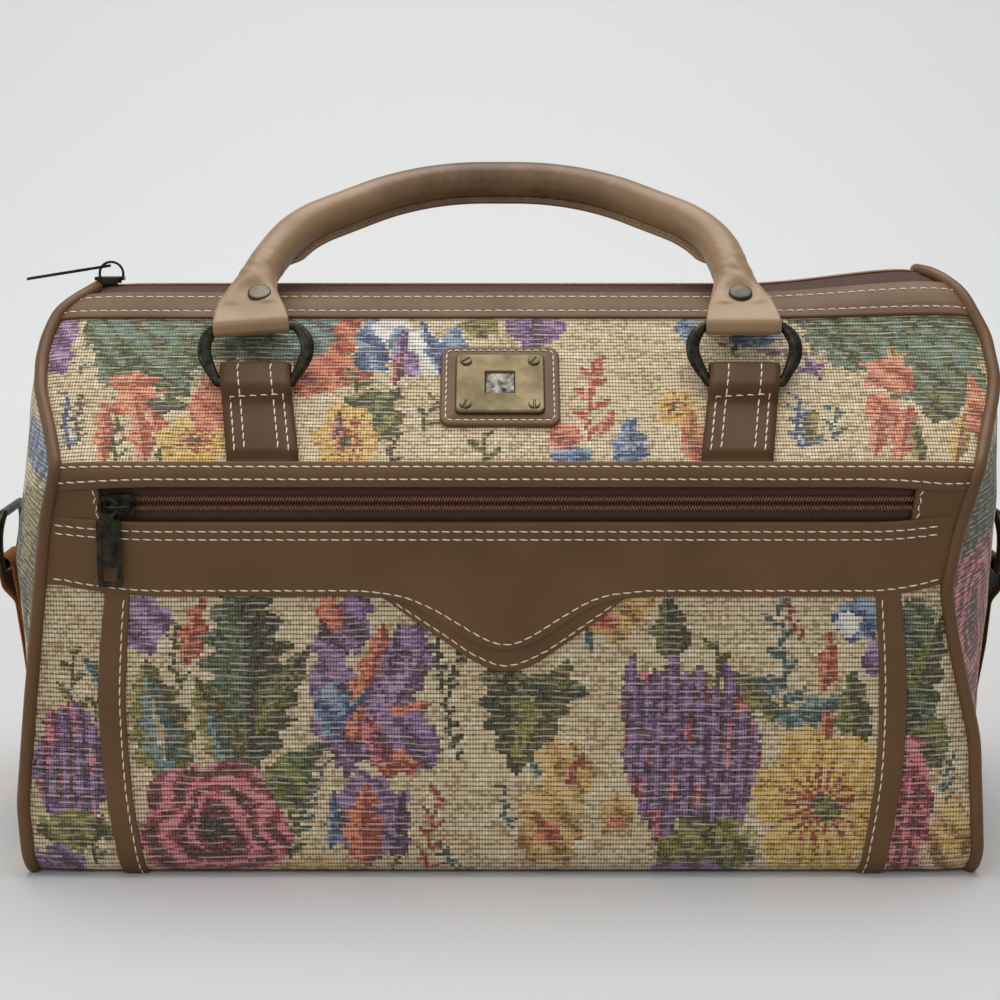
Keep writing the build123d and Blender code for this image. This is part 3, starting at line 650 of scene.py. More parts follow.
lowerFlowers = fromPhoto(flatFaces["front"], [
    ("blob", "lilac", 146, 622, 26, 28, 0), ("leaf", "coral", "mm", -135, 93, -127, 124, 10),
    ("sprig", "olive", "mm", -137, 84, -140, 112, 7), ("leaf", "deep", "mm", -106, 50, -111, 144, 35),
    ("leaf", "olive", "mm", -108, 38, -131, 89, 18), ("leaf", "teal", "mm", -115, 44, -126, 77, 8),
    ("leaf", "leafdark", "mm", -109, 56, -82, 102, 15), ("leaf", "olive", "mm", -105, 62, -84, 94, 6),
    ("leaf", "night", "mm", -107, 52, -107.5, 88, 3), ("leaf", "olive", "mm", -142, 42, -152, 96, 26),
    ("leaf", "teal", "mm", -143, 46, -151, 89, 15), ("leaf", "ground", "mm", -143.5, 50, -150, 82, 3),
    ("leaf", "deep", "mm", -108, 36, -73, 60, 12), ("blob", "moss", "mm", -93, 41, 14, 11, 0),
    ("sprig", "teal", 298, 830, 322, 760, 14), ("sprig", "olive", 290, 850, 300, 806, 18),
    ("rose", "crimson", "mm", -125, 22, 34, 31), ("blob", "ochre", 318, 868, 48, 16, 0),
    ("sprig", "coral", 352, 880, 372, 850, 14), ("blob", "purple", 338, 700, 26, 70, 10),
    ("blob", "purple", 345, 622, 28, 30, 0), ("blob", "coral", 332, 612, 13, 16, 0),
    ("blob", "purple", 402, 662, 26, 44, -30), ("leaf", "coral", "mm", -63, 60, -49, 113, 14),
    ("leaf", "purple", "mm", -58, 52, -43, 112, 10), ("leaf", "lilac", "mm", -53, 62, -32, 100, 16),
    ("leaf", "coral", 370, 735, 432, 700, 28), ("blob", "purple", 405, 740, 36, 26, 0),
    ("leaf", "coral", "mm", -56, 52, -33, 50, 11), ("blob", "crimson", "mm", -54, 60, 4.5, 11, 25),
    ("blob", "dusty", 330, 706, 16, 26, 0), ("leaf", "dusty", 340, 720, 372, 682, 10),
    ("blob", "purple", 370, 812, 40, 42, 0), ("leaf", "coral", "mm", -60, 7, -58, 43, 16),
    ("leaf", "dusty", 330, 842, 336, 784, 12), ("leaf", "purple", 392, 850, 404, 786, 22),
    ("sprig", "coral", 425, 870, 438, 786, 20), ("sprig", "teal", 470, 872, 436, 838, 14),
    ("sprig", "olive", 392, 872, 402, 842, 12), ("sprig", "leafdark", 458, 756, 430, 612, 14),
    ("sprig", "leafdark", 448, 690, 466, 640, 12), ("leaf", "leafdark", "mm", 1, 98, 8, 45, 22),
    ("leaf", "olive", "mm", 8, 50, 30, 96, 18), ("leaf", "leafdark", "mm", 10, 84, 38, 82, 15),
    ("leaf", "leafdark", 488, 690, 514, 668, 30), ("blob", "ochre", "mm", 28, 48, 11, 14, 20),
    ("leaf", "coral", 560, 788, 584, 750, 9), ("blob", "ochre", "mm", 21, 24, 15, 20, 0),
    ("blob", "coral", 548, 828, 14, 15, 0), ("blob", "ochre", 616, 808, 17, 23, -10),
    ("blob", "coral", 614, 816, 8, 8, 0), ("leaf", "teal", 540, 772, 532, 756, 8),
    ("sprig", "teal", 512, 822, 500, 782, 13), ("sprig", "teal", 536, 868, 582, 870, 9),
    ("blob", "ochre", 618, 616, 32, 22, 20), ("blob", "coral", 606, 620, 16, 9, 20),
    ("leaf", "teal", 594, 652, 584, 624, 10), ("leaf", "leafdark", "mm", 74, 96, 72, 124, 16),
    ("sprig", "olive", 716, 742, 714, 640, 30), ("sprig", "olive", 742, 722, 764, 690, 18),
    ("spikes", "purple", 692, 752, 70, 92), ("spikes", "purple", 640, 700, 20, 44),
    ("blob", "olive", 704, 842, 48, 30, 0), ("blob", "purple", 690, 866, 46, 12, 0),
    ("sprig", "moss", 730, 868, 700, 800, 22), ("sprig", "teal", 792, 742, 776, 604, 30),
    ("leaf", "teal", 776, 690, 740, 672, 12), ("leaf", "teal", 790, 722, 842, 694, 26),
    ("leaf", "teal", 790, 710, 762, 712, 20), ("leaf", "coral", 822, 690, 832, 628, 18),
    ("sprig", "coral", 800, 640, 786, 600, 12), ("leaf", "coral", 828, 740, 826, 704, 10),
    ("blob", "dusty", 858, 618, 22, 22, 0), ("blob", "cream", 848, 622, 12, 14, 0),
    ("blob", "lilac", 872, 655, 10, 18, 0), ("leaf", "moss", "mm", 153, 55, 151, 92, 15),
    ("leaf", "teal", 812, 752, 800, 700, 22), ("bloom", "gold", "mm", 139, 33, 31, 36),
    ("leaf", "olive", "mm", 118, 70, 100, 92, 9), ("blob", "moss", 828, 806, 11, 13, 0),
    ("sprig", "olive", 74, 718, 72, 650, 26), ("sprig", "olive", 98, 724, 102, 690, 18),
    ("leaf", "teal", 106, 682, 86, 656, 14), ("spikes", "purple", 72, 770, 40, 62),
    ("blob", "olive", 76, 822, 34, 20, 0), ("sprig", "moss", 96, 856, 98, 812, 16),
    ("blob", "purple", 60, 856, 30, 18, 0), ("blob", "deep", 912, 640, 24, 44, 0),
    ("leaf", "moss", "mm", 172, 52, 190, 116, 17), ("leaf", "deep", "mm", 174, 84, 192, 48, 15),
    ("leaf", "teal", 905, 650, 900, 600, 12), ("blob", "moss", 932, 742, 22, 20, 0),
    ("blob", "crimson", 912, 800, 22, 62, 0), ("spikes", "crimson", 900, 810, 18, 60),
    ("blob", "ochre", 952, 832, 20, 42, 0), ("sprig", "teal", 946, 800, 950, 752, 14),
    ("blob", "teal", 920, 872, 20, 8, 0),
])
upperFlowers = fromPhoto(flatFaces["slope"], [
    ("blob", "leafteal", 190, 330, 108, 32, 0), ("blob", "leafteal", 150, 352, 60, 40, 0),
    ("blob", "leafteal", 282, 330, 60, 34, 0), ("leaf", "leafteal", 130, 350, 190, 396, 46),
    ("blob", "olive", 120, 308, 40, 14, 0), ("blob", "lilac", 62, 330, 16, 26, 0),
    ("blob", "lilac", 60, 360, 12, 14, 0), ("sprig", "dusty", 70, 448, 66, 392, 14),
    ("sprig", "olive", 78, 440, 78, 396, 10), ("leaf", "salmon", 108, 384, 160, 378, 26),
    ("blob", "salmon", 138, 400, 28, 14, 20), ("leaf", "salmon", 102, 462, 106, 398, 20),
    ("leaf", "salmon", 146, 460, 138, 400, 24), ("leaf", "salmon", 164, 440, 150, 396, 16),
    ("leaf", "salmon", 200, 420, 214, 372, 28), ("sprig", "olive", 118, 462, 116, 418, 16),
    ("leaf", "leafdark", 146, 404, 192, 408, 20), ("blob", "leafdark", 172, 452, 16, 12, 0),
    ("bloom", "gold", 196, 440, 42, 28), ("blob", "salmon", 214, 410, 24, 22, 0),
    ("blob", "leafdark", 250, 430, 12, 30, 0), ("blob", "coral", 345, 330, 19, 30, 0),
    ("blob", "teal", 310, 335, 24, 30, 0), ("blob", "coral", 332, 372, 34, 20, 0),
    ("blob", "coral", 312, 378, 20, 18, 0), ("sprig", "olive", 356, 392, 362, 350, 24),
    ("blob", "dusty", 372, 344, 18, 32, 0), ("blob", "cream", 392, 330, 18, 14, 0),
    ("blob", "dusty", 402, 340, 14, 16, 0), ("blob", "cream", 424, 350, 20, 22, 0),
    ("blob", "dusty", 452, 356, 16, 24, 0), ("leaf", "dusty", 440, 372, 420, 318, 14),
    ("leaf", "lilac", 398, 366, 404, 330, 14), ("leaf", "crimson", 396, 386, 400, 352, 13),
    ("blob", "lilac", 412, 364, 10, 12, 0), ("leaf", "leafdark", 344, 402, 406, 398, 26),
    ("leaf", "moss", 360, 436, 400, 388, 30), ("leaf", "olive", 378, 440, 404, 410, 24),
    ("bloom", "gold", 346, 440, 34, 42), ("leaf", "crimson", 334, 440, 344, 404, 9),
    ("leaf", "coral", 350, 425, 366, 418, 10), ("sprig", "leafdark", 392, 466, 396, 434, 16),
    ("sprig", "olive", 422, 430, 436, 398, 22), ("sprig", "olive", 488, 466, 482, 436, 26),
    ("blob", "olive", 482, 326, 20, 9, 0), ("blob", "lilac", 534, 326, 28, 18, 0),
    ("leaf", "purple", 534, 352, 530, 318, 24), ("sprig", "salmon", 590, 440, 592, 360, 30),
    ("leaf", "salmon", 588, 402, 606, 352, 9), ("leaf", "salmon", 600, 436, 616, 408, 12),
    ("blob", "coral", 566, 436, 16, 14, 0), ("blob", "dusty", 574, 456, 24, 9, 0),
    ("leaf", "dusty", 628, 468, 632, 416, 34), ("leaf", "dusty", 616, 456, 650, 446, 22),
    ("bloom", "gold", 676, 408, 24, 18), ("blob", "coral", 694, 440, 12, 26, 0),
    ("leaf", "ochre", 690, 452, 694, 410, 9), ("blob", "dusty", 688, 330, 10, 14, 0),
    ("blob", "dusty", 752, 338, 24, 10, 0), ("sprig", "olive", 738, 356, 726, 342, 16),
    ("leaf", "lilac", 756, 352, 802, 350, 10), ("leaf", "lilac", 800, 372, 828, 362, 12),
    ("leaf", "lilac", 806, 356, 822, 384, 10), ("sprig", "olive", 786, 372, 796, 352, 16),
    ("sprig", "dusty", 800, 450, 796, 394, 18), ("leaf", "teal", 800, 432, 828, 440, 18),
    ("leaf", "olive", 812, 410, 810, 446, 16), ("sprig", "teal", 836, 440, 832, 408, 20),
    ("blob", "leafteal", 900, 330, 86, 44, 0), ("blob", "leafteal", 860, 322, 66, 34, 0),
    ("blob", "leafteal", 930, 372, 58, 34, 0), ("leaf", "leafteal", 860, 370, 800, 316, 30),
    ("blob", "olive", 838, 306, 36, 9, 0), ("leaf", "gold", 898, 372, 890, 346, 18),
    ("blob", "salmon", 892, 376, 26, 20, 0), ("blob", "salmon", 886, 412, 18, 20, 0),
    ("leaf", "salmon", 876, 456, 880, 402, 18), ("leaf", "salmon", 900, 460, 912, 404, 26),
    ("leaf", "olive", 922, 462, 912, 420, 16), ("leaf", "leafdark", 952, 420, 936, 376, 26),
    ("blob", "leafdark", 940, 408, 20, 18, 0), ("leaf", "ochre", 956, 462, 970, 400, 18),
    ("blob", "salmon", 978, 412, 10, 34, 0), ("leaf", "crimson", 914, 294, 944, 292, 8),
])


def leafShape(x, h, x0, h0, x1, h1, width):
    # a pointed leaf from its foot to its tip with a toothed edge, a dark rib and slanting veins
    length = np.hypot(x1 - x0, h1 - h0)
    ax, ah = (x1 - x0) / length, (h1 - h0) / length
    t = ((x - x0) * ax + (h - h0) * ah) / length
    off = (x - x0) * -ah + (h - h0) * ax
    inside = (t > 0) & (t < 1)
    tc = np.clip(t, 0, 1)
    teeth = 1 + 0.22 * np.sin(t * length / 1.7) * np.sign(off) + 0.25 * (noise(x / 3, h / 3, 11) - 0.5)
    half = width / 2 * np.sin(np.pi * tc ** 0.72) ** 0.75 * teeth
    veins = 0.22 * np.sin((t * length - np.abs(off) * 1.3) * 2 * np.pi / 6.5)
    shade = 0.5 + 0.24 * np.sign(off) + veins - 0.9 * (np.abs(off) < 0.7)
    return inside & (np.abs(off) < half), shade


def blobShape(x, h, cx, ch, rx, rh, angle):
    # a ragged patch, shaded in slanting bands
    turn = np.radians(angle)
    u = ((x - cx) * np.cos(turn) + (h - ch) * np.sin(turn)) / rx
    w = ((h - ch) * np.cos(turn) - (x - cx) * np.sin(turn)) / rh
    edge = 1 + 0.5 * (noise(x / 5 + cx, h / 5 + ch, 13) - 0.5) + 0.25 * (noise(x / 1.7, h / 1.7, 14) - 0.5)
    bands = np.sin((x * 0.8 + h * 0.6 + 5 * noise(x / 12, h / 9, 15)) * 2 * np.pi / 11)
    return np.hypot(u, w) < edge, 0.5 + 0.3 * bands + 0.3 * (w > 0.3)


def spikeShape(x, h, cx, ch, rx, rh):
    # a spire of hanging florets: upright columns with ragged ends, light down their middles
    wide = 6.0
    column = np.floor((x - cx) / wide + 0.35 * (noise(h / 9, cx / 3, 17) - 0.5))
    inCol = np.abs(((x - cx) / wide + 0.35 * (noise(h / 9, cx / 3, 17) - 0.5)) - column - 0.5) * 2
    jog = speck(column, cx * 0.1, 18)
    reach = np.sqrt(np.clip(1 - ((x - cx) / rx) ** 2, 0, 1))
    top = ch + rh * reach * (0.72 + 0.5 * jog) - 3.5 * inCol ** 2
    low = ch - rh * reach * (0.72 + 0.5 * speck(column, cx * 0.2, 19)) + 3.5 * inCol ** 2
    florets = np.sin((h + 7 * jog) * 2 * np.pi / 11)
    return (h < top) & (h > low), 0.86 - 0.75 * inCol ** 1.4 + 0.18 * florets


def roseShape(x, h, cx, ch, rx, rh):
    # overlapping petals: rings that wind outwards round a dark heart, with scalloped edges
    u, w = (x - cx) / rx, (h - ch) / rh
    r, turn = np.hypot(u, w), np.arctan2(w, u)
    warp = 0.35 * (noise(u * 2.6 + 9, w * 2.6, 21) - 0.5)
    rings = np.sin(2 * np.pi * (3.1 * (r + warp) + turn / (2 * np.pi)) + 1.1 * np.sin(3 * turn))
    edge = 0.96 + 0.07 * np.cos(5 * turn + 1) + 0.1 * (noise(x / 3, h / 3, 22) - 0.5)
    shade = 0.5 + 0.42 * rings + 0.2 * (noise(x / 6, h / 4, 23) - 0.5) + 0.12 * (w > 0)
    return r < edge, np.where(r < 0.3, shade - 0.4, shade), r


def bloomShape(x, h, cx, ch, rx, rh):
    # a single flower: six broad petals with streaks out from its middle
    u, w = (x - cx) / rx, (h - ch) / rh
    r, turn = np.hypot(u, w), np.arctan2(w, u)
    edge = 0.74 + 0.26 * np.abs(np.cos(3 * turn + 0.5)) + 0.12 * (noise(x / 3, h / 3, 25) - 0.5)
    streaks = np.sin(turn * 17 + 3 * noise(u * 3, w * 3, 26))
    return r < edge, 0.62 + 0.2 * streaks + 0.3 * (r - 0.5), r


def sprigShape(x, h, x0, h0, x1, h1, size):
    # a thin stem with small leaves in pairs and one at its tip
    length = np.hypot(x1 - x0, h1 - h0)
    ax, ah = (x1 - x0) / length, (h1 - h0) / length
    t = np.clip((x - x0) * ax + (h - h0) * ah, 0, length)
    bow = 1.2 * np.sin(t / length * np.pi * 1.5)
    away = np.abs((x - x0) * -ah + (h - h0) * ax - bow)
    past = ((x - x0) * ax + (h - h0) * ah)
    mask, shade = (away < 0.75) & (past > 0) & (past < length), np.full(x.shape, 0.15)
    pairs = max(int(length / (0.5 * size)), 2)
    for k in range(pairs):
        at = (k + 0.6) / pairs * length
        sign = 1 if k % 2 else -1
        big = size * (0.95 - 0.35 * k / pairs)
        fx, fh = x0 + ax * at, h0 + ah * at
        tx = fx + big * (0.62 * ax - 0.72 * ah * sign)
        th = fh + big * (0.62 * ah + 0.72 * ax * sign)
        leaf, tone = leafShape(x, h, fx, fh, tx, th, big * 0.42)
        shade, mask = np.where(leaf, tone, shade), mask | leaf
    return mask, shade


shapes = {"leaf": leafShape, "blob": blobShape, "spikes": spikeShape, "sprig": sprigShape}


def tint(name, shade, grain):
    # picks dark, middle or light thread by shade, dithered from cell to cell as weavers do
    dark, middle, light = (linear(*c) for c in palettes[name])
    level = shade + (grain - 0.5) * 0.5
    return np.where((level > 0.72)[:, None], light, np.where((level > 0.36)[:, None], middle, dark))


def embroider(x, h, flowers):
    # the cloth's colour at each cell: the ground, then each motif over the last
    colour = np.zeros((len(x), 3))
    grain = speck(np.floor(x / cloth["column"]), np.floor(h), 31)
    streak = noise(x / 9, h / 1.9, 32)
    colour[:] = tint("ground", 0.5 + 0.35 * (streak - 0.5), grain)
    ground = np.ones(len(x), bool)
    for kind, shade, *numbers in flowers:
        span = 1.6 * max(abs(n) for n in numbers[2:4]) + 12 if kind in ("blob", "rose", "bloom", "spikes") \
            else np.hypot(numbers[2] - numbers[0], numbers[3] - numbers[1]) + numbers[4] + 4
        near = np.flatnonzero((np.abs(x - numbers[0]) < span) & (np.abs(h - numbers[1]) < span))
        if not len(near):
            continue
        px, ph, pg = x[near], h[near], grain[near]
        jx, jh = px + 1.5 * (noise(px / 4, ph / 4, 41) - 0.5), ph + 1.5 * (noise(px / 4, ph / 4, 42) - 0.5)
        if kind in ("rose", "bloom"):
            shape = roseShape if kind == "rose" else bloomShape
            mask, tone, r = shape(jx, jh, *numbers)
            paint = tint(shade, tone, pg)
            if kind == "rose":
                paint = np.where((r < 0.2)[:, None], tint("night", tone, pg), paint)
            else:
                warm = (r < 0.5) & (tone + 0.3 * (pg - 0.5) < 0.62 - 0.3 * r)
                paint = np.where(warm[:, None], tint("coral", tone - 0.1, pg), paint)
                paint = np.where((r < 0.13)[:, None], tint("leafdark", tone, pg), paint)
        else:
            mask, tone = shapes[kind](jx, jh, *numbers)
            paint = tint(shade, tone, pg)
            if kind == "spikes":
                blush = noise(px / 3.4, ph / 13, 43) > 0.7
                paint = np.where(blush[:, None], tint("crimson", tone, pg), paint)
        colour[near[mask]] = paint[mask]
        ground[near[mask]] = False
    # the fourth channel tells the shader where the motifs lie
    return np.concatenate([colour, (~ground)[:, None].astype(float)], 1)


def clothColour(x, s):
    # the motifs' places on the cloth: lower ones below the fold, upper ones above it
    low = np.abs(s) > (slopeEnd + foldEnd) / 2
    shift = np.where(s > 0, x, -x - 9.0)
    colour = np.zeros((len(x), 4))
    h = np.where(low, atHeight(0) - np.abs(s), slopeEnd - np.abs(s))
    for part, flowers in ((low, lowerFlowers), (~low, upperFlowers)):
        if part.any():
            colour[part] = embroider(shift[part], h[part], flowers)
    return colour


def panel(name, s0, s1, left=leftSeam, right=rightSeam, step=1.3, replaced=()):
    # a panel of cloth on the profile between s0 and s1 and between two edges x(s)
    s = np.linspace(s0, s1, int((s1 - s0) / step) + 1)
    x0, x1 = left(s), right(s)
    columns = int(np.max(x1 - x0) / (cloth["column"] * step)) + 1
    t = np.linspace(0, 1, columns)
    x = x0[:, None] + (x1 - x0)[:, None] * t[None]
    s = np.broadcast_to(s[:, None], x.shape)
    xc = (x[:-1, :-1] + x[1:, 1:]) / 2
    sc = (s[:-1, :-1] + s[1:, 1:]) / 2
    colour = clothColour(xc.ravel(), sc.ravel())
    uv = np.stack([x, s], -1)
    piece = grid(name, onBag(x, s), "bag", tapestry, uv=uv, colour=colour, replaced=replaced)
    thicken(piece, cloth["thick"])


# Leather trim on the front. Heights are z in mm on the front face, lines are of (x, z).
trim = {
    "stripOuter": [(-168.8, 122), (-172.6, 77), (-171, 40), (-164.6, -4)],
    "stripInner": [(-158.1, 122), (-160.5, 77), (-159.5, 40), (-153.6, -4)],
    "stripTop": 122, "stripLow": -4, "stripUnder": 128, "rightShift": 2.4,
    "slotLow": 155.6, "slotTop": 170.6,
}


def stripLine(z, points, side):
    # the curved edge of a pocket strip: a cubic through four points, mirrored and shifted for the
    # right side, which holds its last value beyond the strip's ends
    x0, z0 = np.array(points, float).T
    curve = np.polyval(np.polyfit(z0, x0, 3), np.clip(z, trim["stripLow"], trim["stripTop"]))
    return curve if side < 0 else trim["rightShift"] - curve


def pocketEdge(s, side):
    # the middle of a strip, where the pocket's panel meets its neighbour
    z = atHeight(0) - s
    return (stripLine(z, trim["stripOuter"], side) + stripLine(z, trim["stripInner"], side)) / 2


def leftEdge(s):
    # the left edge of the pocket's cloth
    return pocketEdge(s, -1)


def rightEdge(s):
    # the right edge of the pocket's cloth
    return pocketEdge(s, 1)


ridgeGap, backStep = 23, 2.4
lowStart = atHeight(trim["slotLow"]) + 0.5
panel("slope_front", ridgeGap, atHeight(trim["slotTop"]), replaced=("front_upper_panel",))
panel("pocket_front", lowStart, cornerEnd, leftEdge, rightEdge, replaced=("front_pocket_panel",))
panel("front_side_left", lowStart, cornerEnd, leftSeam, leftEdge, replaced=("front_side_panel_left",))
panel("front_side_right", lowStart, cornerEnd, rightEdge, rightSeam, replaced=("front_side_panel_right",))
panel("slope_back", -foldEnd, -ridgeGap, step=backStep, replaced=("back_upper_panel",))
panel("back_low", -cornerEnd, -foldEnd, step=backStep, replaced=("back_lower_panel",))


def basePanel():
    # the flat base, from one corner's end to the other's, a little in from the seams
    y = np.linspace(-(halfDepth - cornerR), halfDepth - cornerR, 46)
    t = np.linspace(0, 1, 100)
    s = np.sign(-y) * (baseMiddle - np.abs(y))
    margin = 1.6
    x0, x1 = leftSeam(s) + margin, rightSeam(s) - margin
    x = (x0[:, None] + (x1 - x0)[:, None] * t[None]) * (1 - body["footNarrow"] * footShare(s))[:, None]
    yy = np.broadcast_to(y[:, None], x.shape)
    points = np.stack([x, yy, np.full(x.shape, body["footLevel"])], -1)
    xc, yc = (x[:-1, :-1] + x[1:, 1:]) / 2, (yy[:-1, :-1] + yy[1:, 1:]) / 2
    colour = embroider(xc.ravel() + 31, yc.ravel() % 118, lowerFlowers)
    uv = np.stack([x, yy], -1)
    piece = grid("base_cloth", points, "bag", tapestry, flip=True, uv=uv, colour=colour,
                 replaced=("base_panel",))
    thicken(piece, cloth["thick"])


basePanel()

# The ends: each has a flat plateau under its tab, with its reach in x at some levels of z, and
# slopes to its seam. Flowers are in (y, z), mm.
ends = {"low": 46, "high": 186, "halfWidth": 13, "rim": 0.88, "thick": 1.5,
        "levels": (46, 80, 100, 125, 150, 186),
        -1: (220.5, 224, 226, 226, 222.5, 219), 1: (223, 228, 230, 230, 230.5, 230)}
endFlowers = {
    -1: [("blob", "dusty", -60, 181, 46, 11, 8), ("blob", "olive", -66, 134, 44, 34, -15),
         ("leaf", "olive", -96, 160, -34, 92, 30), ("leaf", "deep", -24, 158, -66, 84, 26),
         ("rose", "crimson", 44, 116, 35, 34), ("leaf", "moss", 22, 84, 78, 44, 26),
         ("leaf", "olive", 4, 140, -2, 196, 20), ("spikes", "purple", -46, 44, 26, 30),
         ("blob", "moss", -40, 14, 30, 12, 0), ("bloom", "gold", 34, 30, 24, 22),
         ("leaf", "teal", 70, 150, 40, 186, 18), ("sprig", "coral", -8, 196, 8, 232, 11),
         ("leaf", "leafdark", 82, 66, 88, 108, 14)],
    1: [("leaf", "moss", -86, 142, -30, 190, 34), ("blob", "deep", -64, 158, 34, 26, 10),
        ("blob", "leafdark", -30, 200, 26, 16, 0), ("rose", "crimson", -62, 104, 42, 40),
        ("leaf", "olive", -88, 66, -34, 36, 26), ("leaf", "deep", -30, 70, -8, 20, 18),
        ("spikes", "purple", 40, 66, 28, 38), ("leaf", "moss", 12, 96, 34, 150, 24),
        ("leaf", "teal", 70, 118, 52, 164, 18), ("bloom", "gold", 66, 30, 24, 22),
        ("sprig", "coral", 6, 186, 12, 226, 11), ("blob", "olive", 24, 18, 26, 11, 0)]}


def endPanel(name, side):
    # the cloth end: from the seam it runs nearly straight up to a plateau and closes at its
    # middle. t runs from the seam (0) to the plateau's rim and on to the pole (1)
    s = np.linspace(-baseMiddle, baseMiddle, 270)[:-1]
    seam = seamAt(s, side)
    rim = onBag(seam, s, -1.2)
    low, high, middle = ends["low"], ends["high"], (ends["low"] + ends["high"]) / 2
    top = rim[:, 2].max()
    ring = np.stack([rim[:, 1] * ends["halfWidth"] / halfDepth,
                     np.interp(rim[:, 2], [0, middle, top], [low, middle, high])], -1)
    t = np.linspace(0, 1, 42)[:, None]
    q = np.clip(t / ends["rim"], 0, 1)
    inner = np.clip((t - ends["rim"]) / (1 - ends["rim"]), 0, 1)
    flat = rim[None, :, 1:] + (ring - rim[:, 1:])[None] * q[..., None]
    flat = flat + (np.array([0, middle]) - ring)[None] * inner[..., None]
    y, z = flat[..., 0], flat[..., 1]
    plateau = np.interp(z, ends["levels"], ends[side])
    fullness = 1.0 + 0.4 * ramp(rim[:, 2], 90, 135) + 0.7 * ramp(rim[:, 2], 205, 250)
    rise = 1 - (1 - q) ** fullness[None]
    start = np.abs(rim[None, :, 0])
    x = start + (plateau - start) * rise
    folds = (noise(y / 24 + 3 * side, z / 55, 51) - 0.5) * 4.5 * np.sin(np.pi * q)
    x = x - np.maximum(folds, 0)
    points = np.stack([side * x, y, z], -1)
    u = -side * y + (130 if side > 0 else -150)
    yc = (y[:-1] + np.roll(y[1:], -1, 1)) / 2
    zc = (z[:-1] + np.roll(z[1:], -1, 1)) / 2
    colour = embroider(yc.ravel(), zc.ravel(), endFlowers[side])
    # the grid closes round the seam, so the last column of cells joins the first
    faces = gridFaces(points.shape[0], points.shape[1], False, True)
    if side < 0:
        faces = faces[:, ::-1]
    piece = addMesh(name, points, faces, "bag", tapestry, uv=np.stack([u, z], -1), colour=colour,
                    replaced=("end_panel_" + sideWord(side),))
    thicken(piece, ends["thick"])


endPanel("end_cloth_left", -1)
endPanel("end_cloth_right", 1)
print("cloth panels done")


# The V flap's edge and stitch row, and the same for the ply under it
trim.update({
    "flapEdge": [(-60, 123.4), (-52, 123.2), (-47, 122.6), (-37.1, 119), (-23, 110.1), (-11.6, 102.8),
                 (-3.1, 99.6), (2.6, 99), (9, 100.2), (16.8, 103.5), (26.7, 110.4), (37.3, 117.6),
                 (47.9, 121.6), (56, 123), (64, 123.4)],
    "flapRow": [(-60, 126), (-51.2, 125.4), (-40.6, 123.6), (-27.9, 118.1), (-17.3, 111.6), (-7.4, 105.7),
                (-1.7, 103.2), (2.6, 102.6), (7.6, 103.5), (14.7, 107.2), (26, 114.5), (34.5, 119.6),
                (40.8, 122.8), (47.9, 124.7), (59.8, 125.8)],
    "underEdge": [(-56, 126), (-50, 122.8), (-47, 120.7), (-37.2, 113.3), (-24.4, 104.4), (-11.7, 95.6),
                  (-3.1, 91.4), (2.6, 90.6), (10.4, 91.8), (16.1, 94.7), (26.8, 102.1), (37.4, 109.9),
                  (48, 118.1), (51.5, 121), (57, 126)],
    "underRow": [(-46, 121.4), (-37.2, 115.7), (-23, 106.4), (-12.4, 98.8), (-1.7, 93.8), (2.6, 93.1),
                 (9, 94.6), (19.7, 99.7), (30.3, 107), (43, 115.9), (49, 120.4)],
    "flapTurns": (-60, 64), "bandLow": 123.4, "lowRow": 126, "bandRows": (151.6, 148.1), "ply": 1.3,
    "underPly": 1.25, "flapMiddle": 2, "rowStep": 0.8, "lowPinch": 122, "topPinch": 155,
    "lineStep": 1.0, "roundings": 14,
})
lineCount = 420


def pinch(x, z):
    # how far the trim's lines shift at height z towards the zip at each end of the front
    left = np.clip((-145 - x) / 42, 0, 1) ** 1.8
    right = np.clip((x - 157) / 30, 0, 1) ** 1.8
    return np.interp(z, [100, 122, 155, 163, 170, 180], [5, 4.8, 2.5, 0, -1.8, -1.8]) * (left + right)


def frontLine(z):
    # a line of (x, s) across the front at height z, from seam to seam
    s = atHeight(z)
    x = np.linspace(leftSeam(s), rightSeam(s), lineCount)
    return np.stack([x, atHeight(z + pinch(x, z))], -1)


def acrossBag(s, shift=0.0):
    # a straight line of (x, s) from seam to seam
    x = np.linspace(leftSeam(s), rightSeam(s), lineCount)
    return np.stack([x, np.full(lineCount, float(s)) + shift], -1)


def sewnLine(line, v):
    # a row of stitches on the bag along a line of (x, s) at level v
    return stitchRow(*alongBand(along(line, trim["rowStep"]), v))


def smoothLine(points):
    # an even line through (x, z) points, rounded by averaging neighbours, as (x, s)
    line = along(np.array(points, float), trim["lineStep"])
    for _ in range(trim["roundings"]):
        line[1:-1] = (line[:-2] + 2 * line[1:-1] + line[2:]) / 4
    return np.stack([line[:, 0], atHeight(line[:, 1])], -1)


def leather(name, edgeA, edgeB, v1, rows, grooves, replaced):
    # a strip of leather v1 thick between two lines, with its stitch rows, each a line of (x, s)
    points = ribbon(edgeA, edgeB, 0, v1, grooves)
    addMesh(name, points, gridFaces(*points.shape[:2])[:, ::-1], "bag", trimHide, replaced=replaced)
    threads(name + "_stitches", [sewnLine(row, v1) for row in rows], "bag", thread)


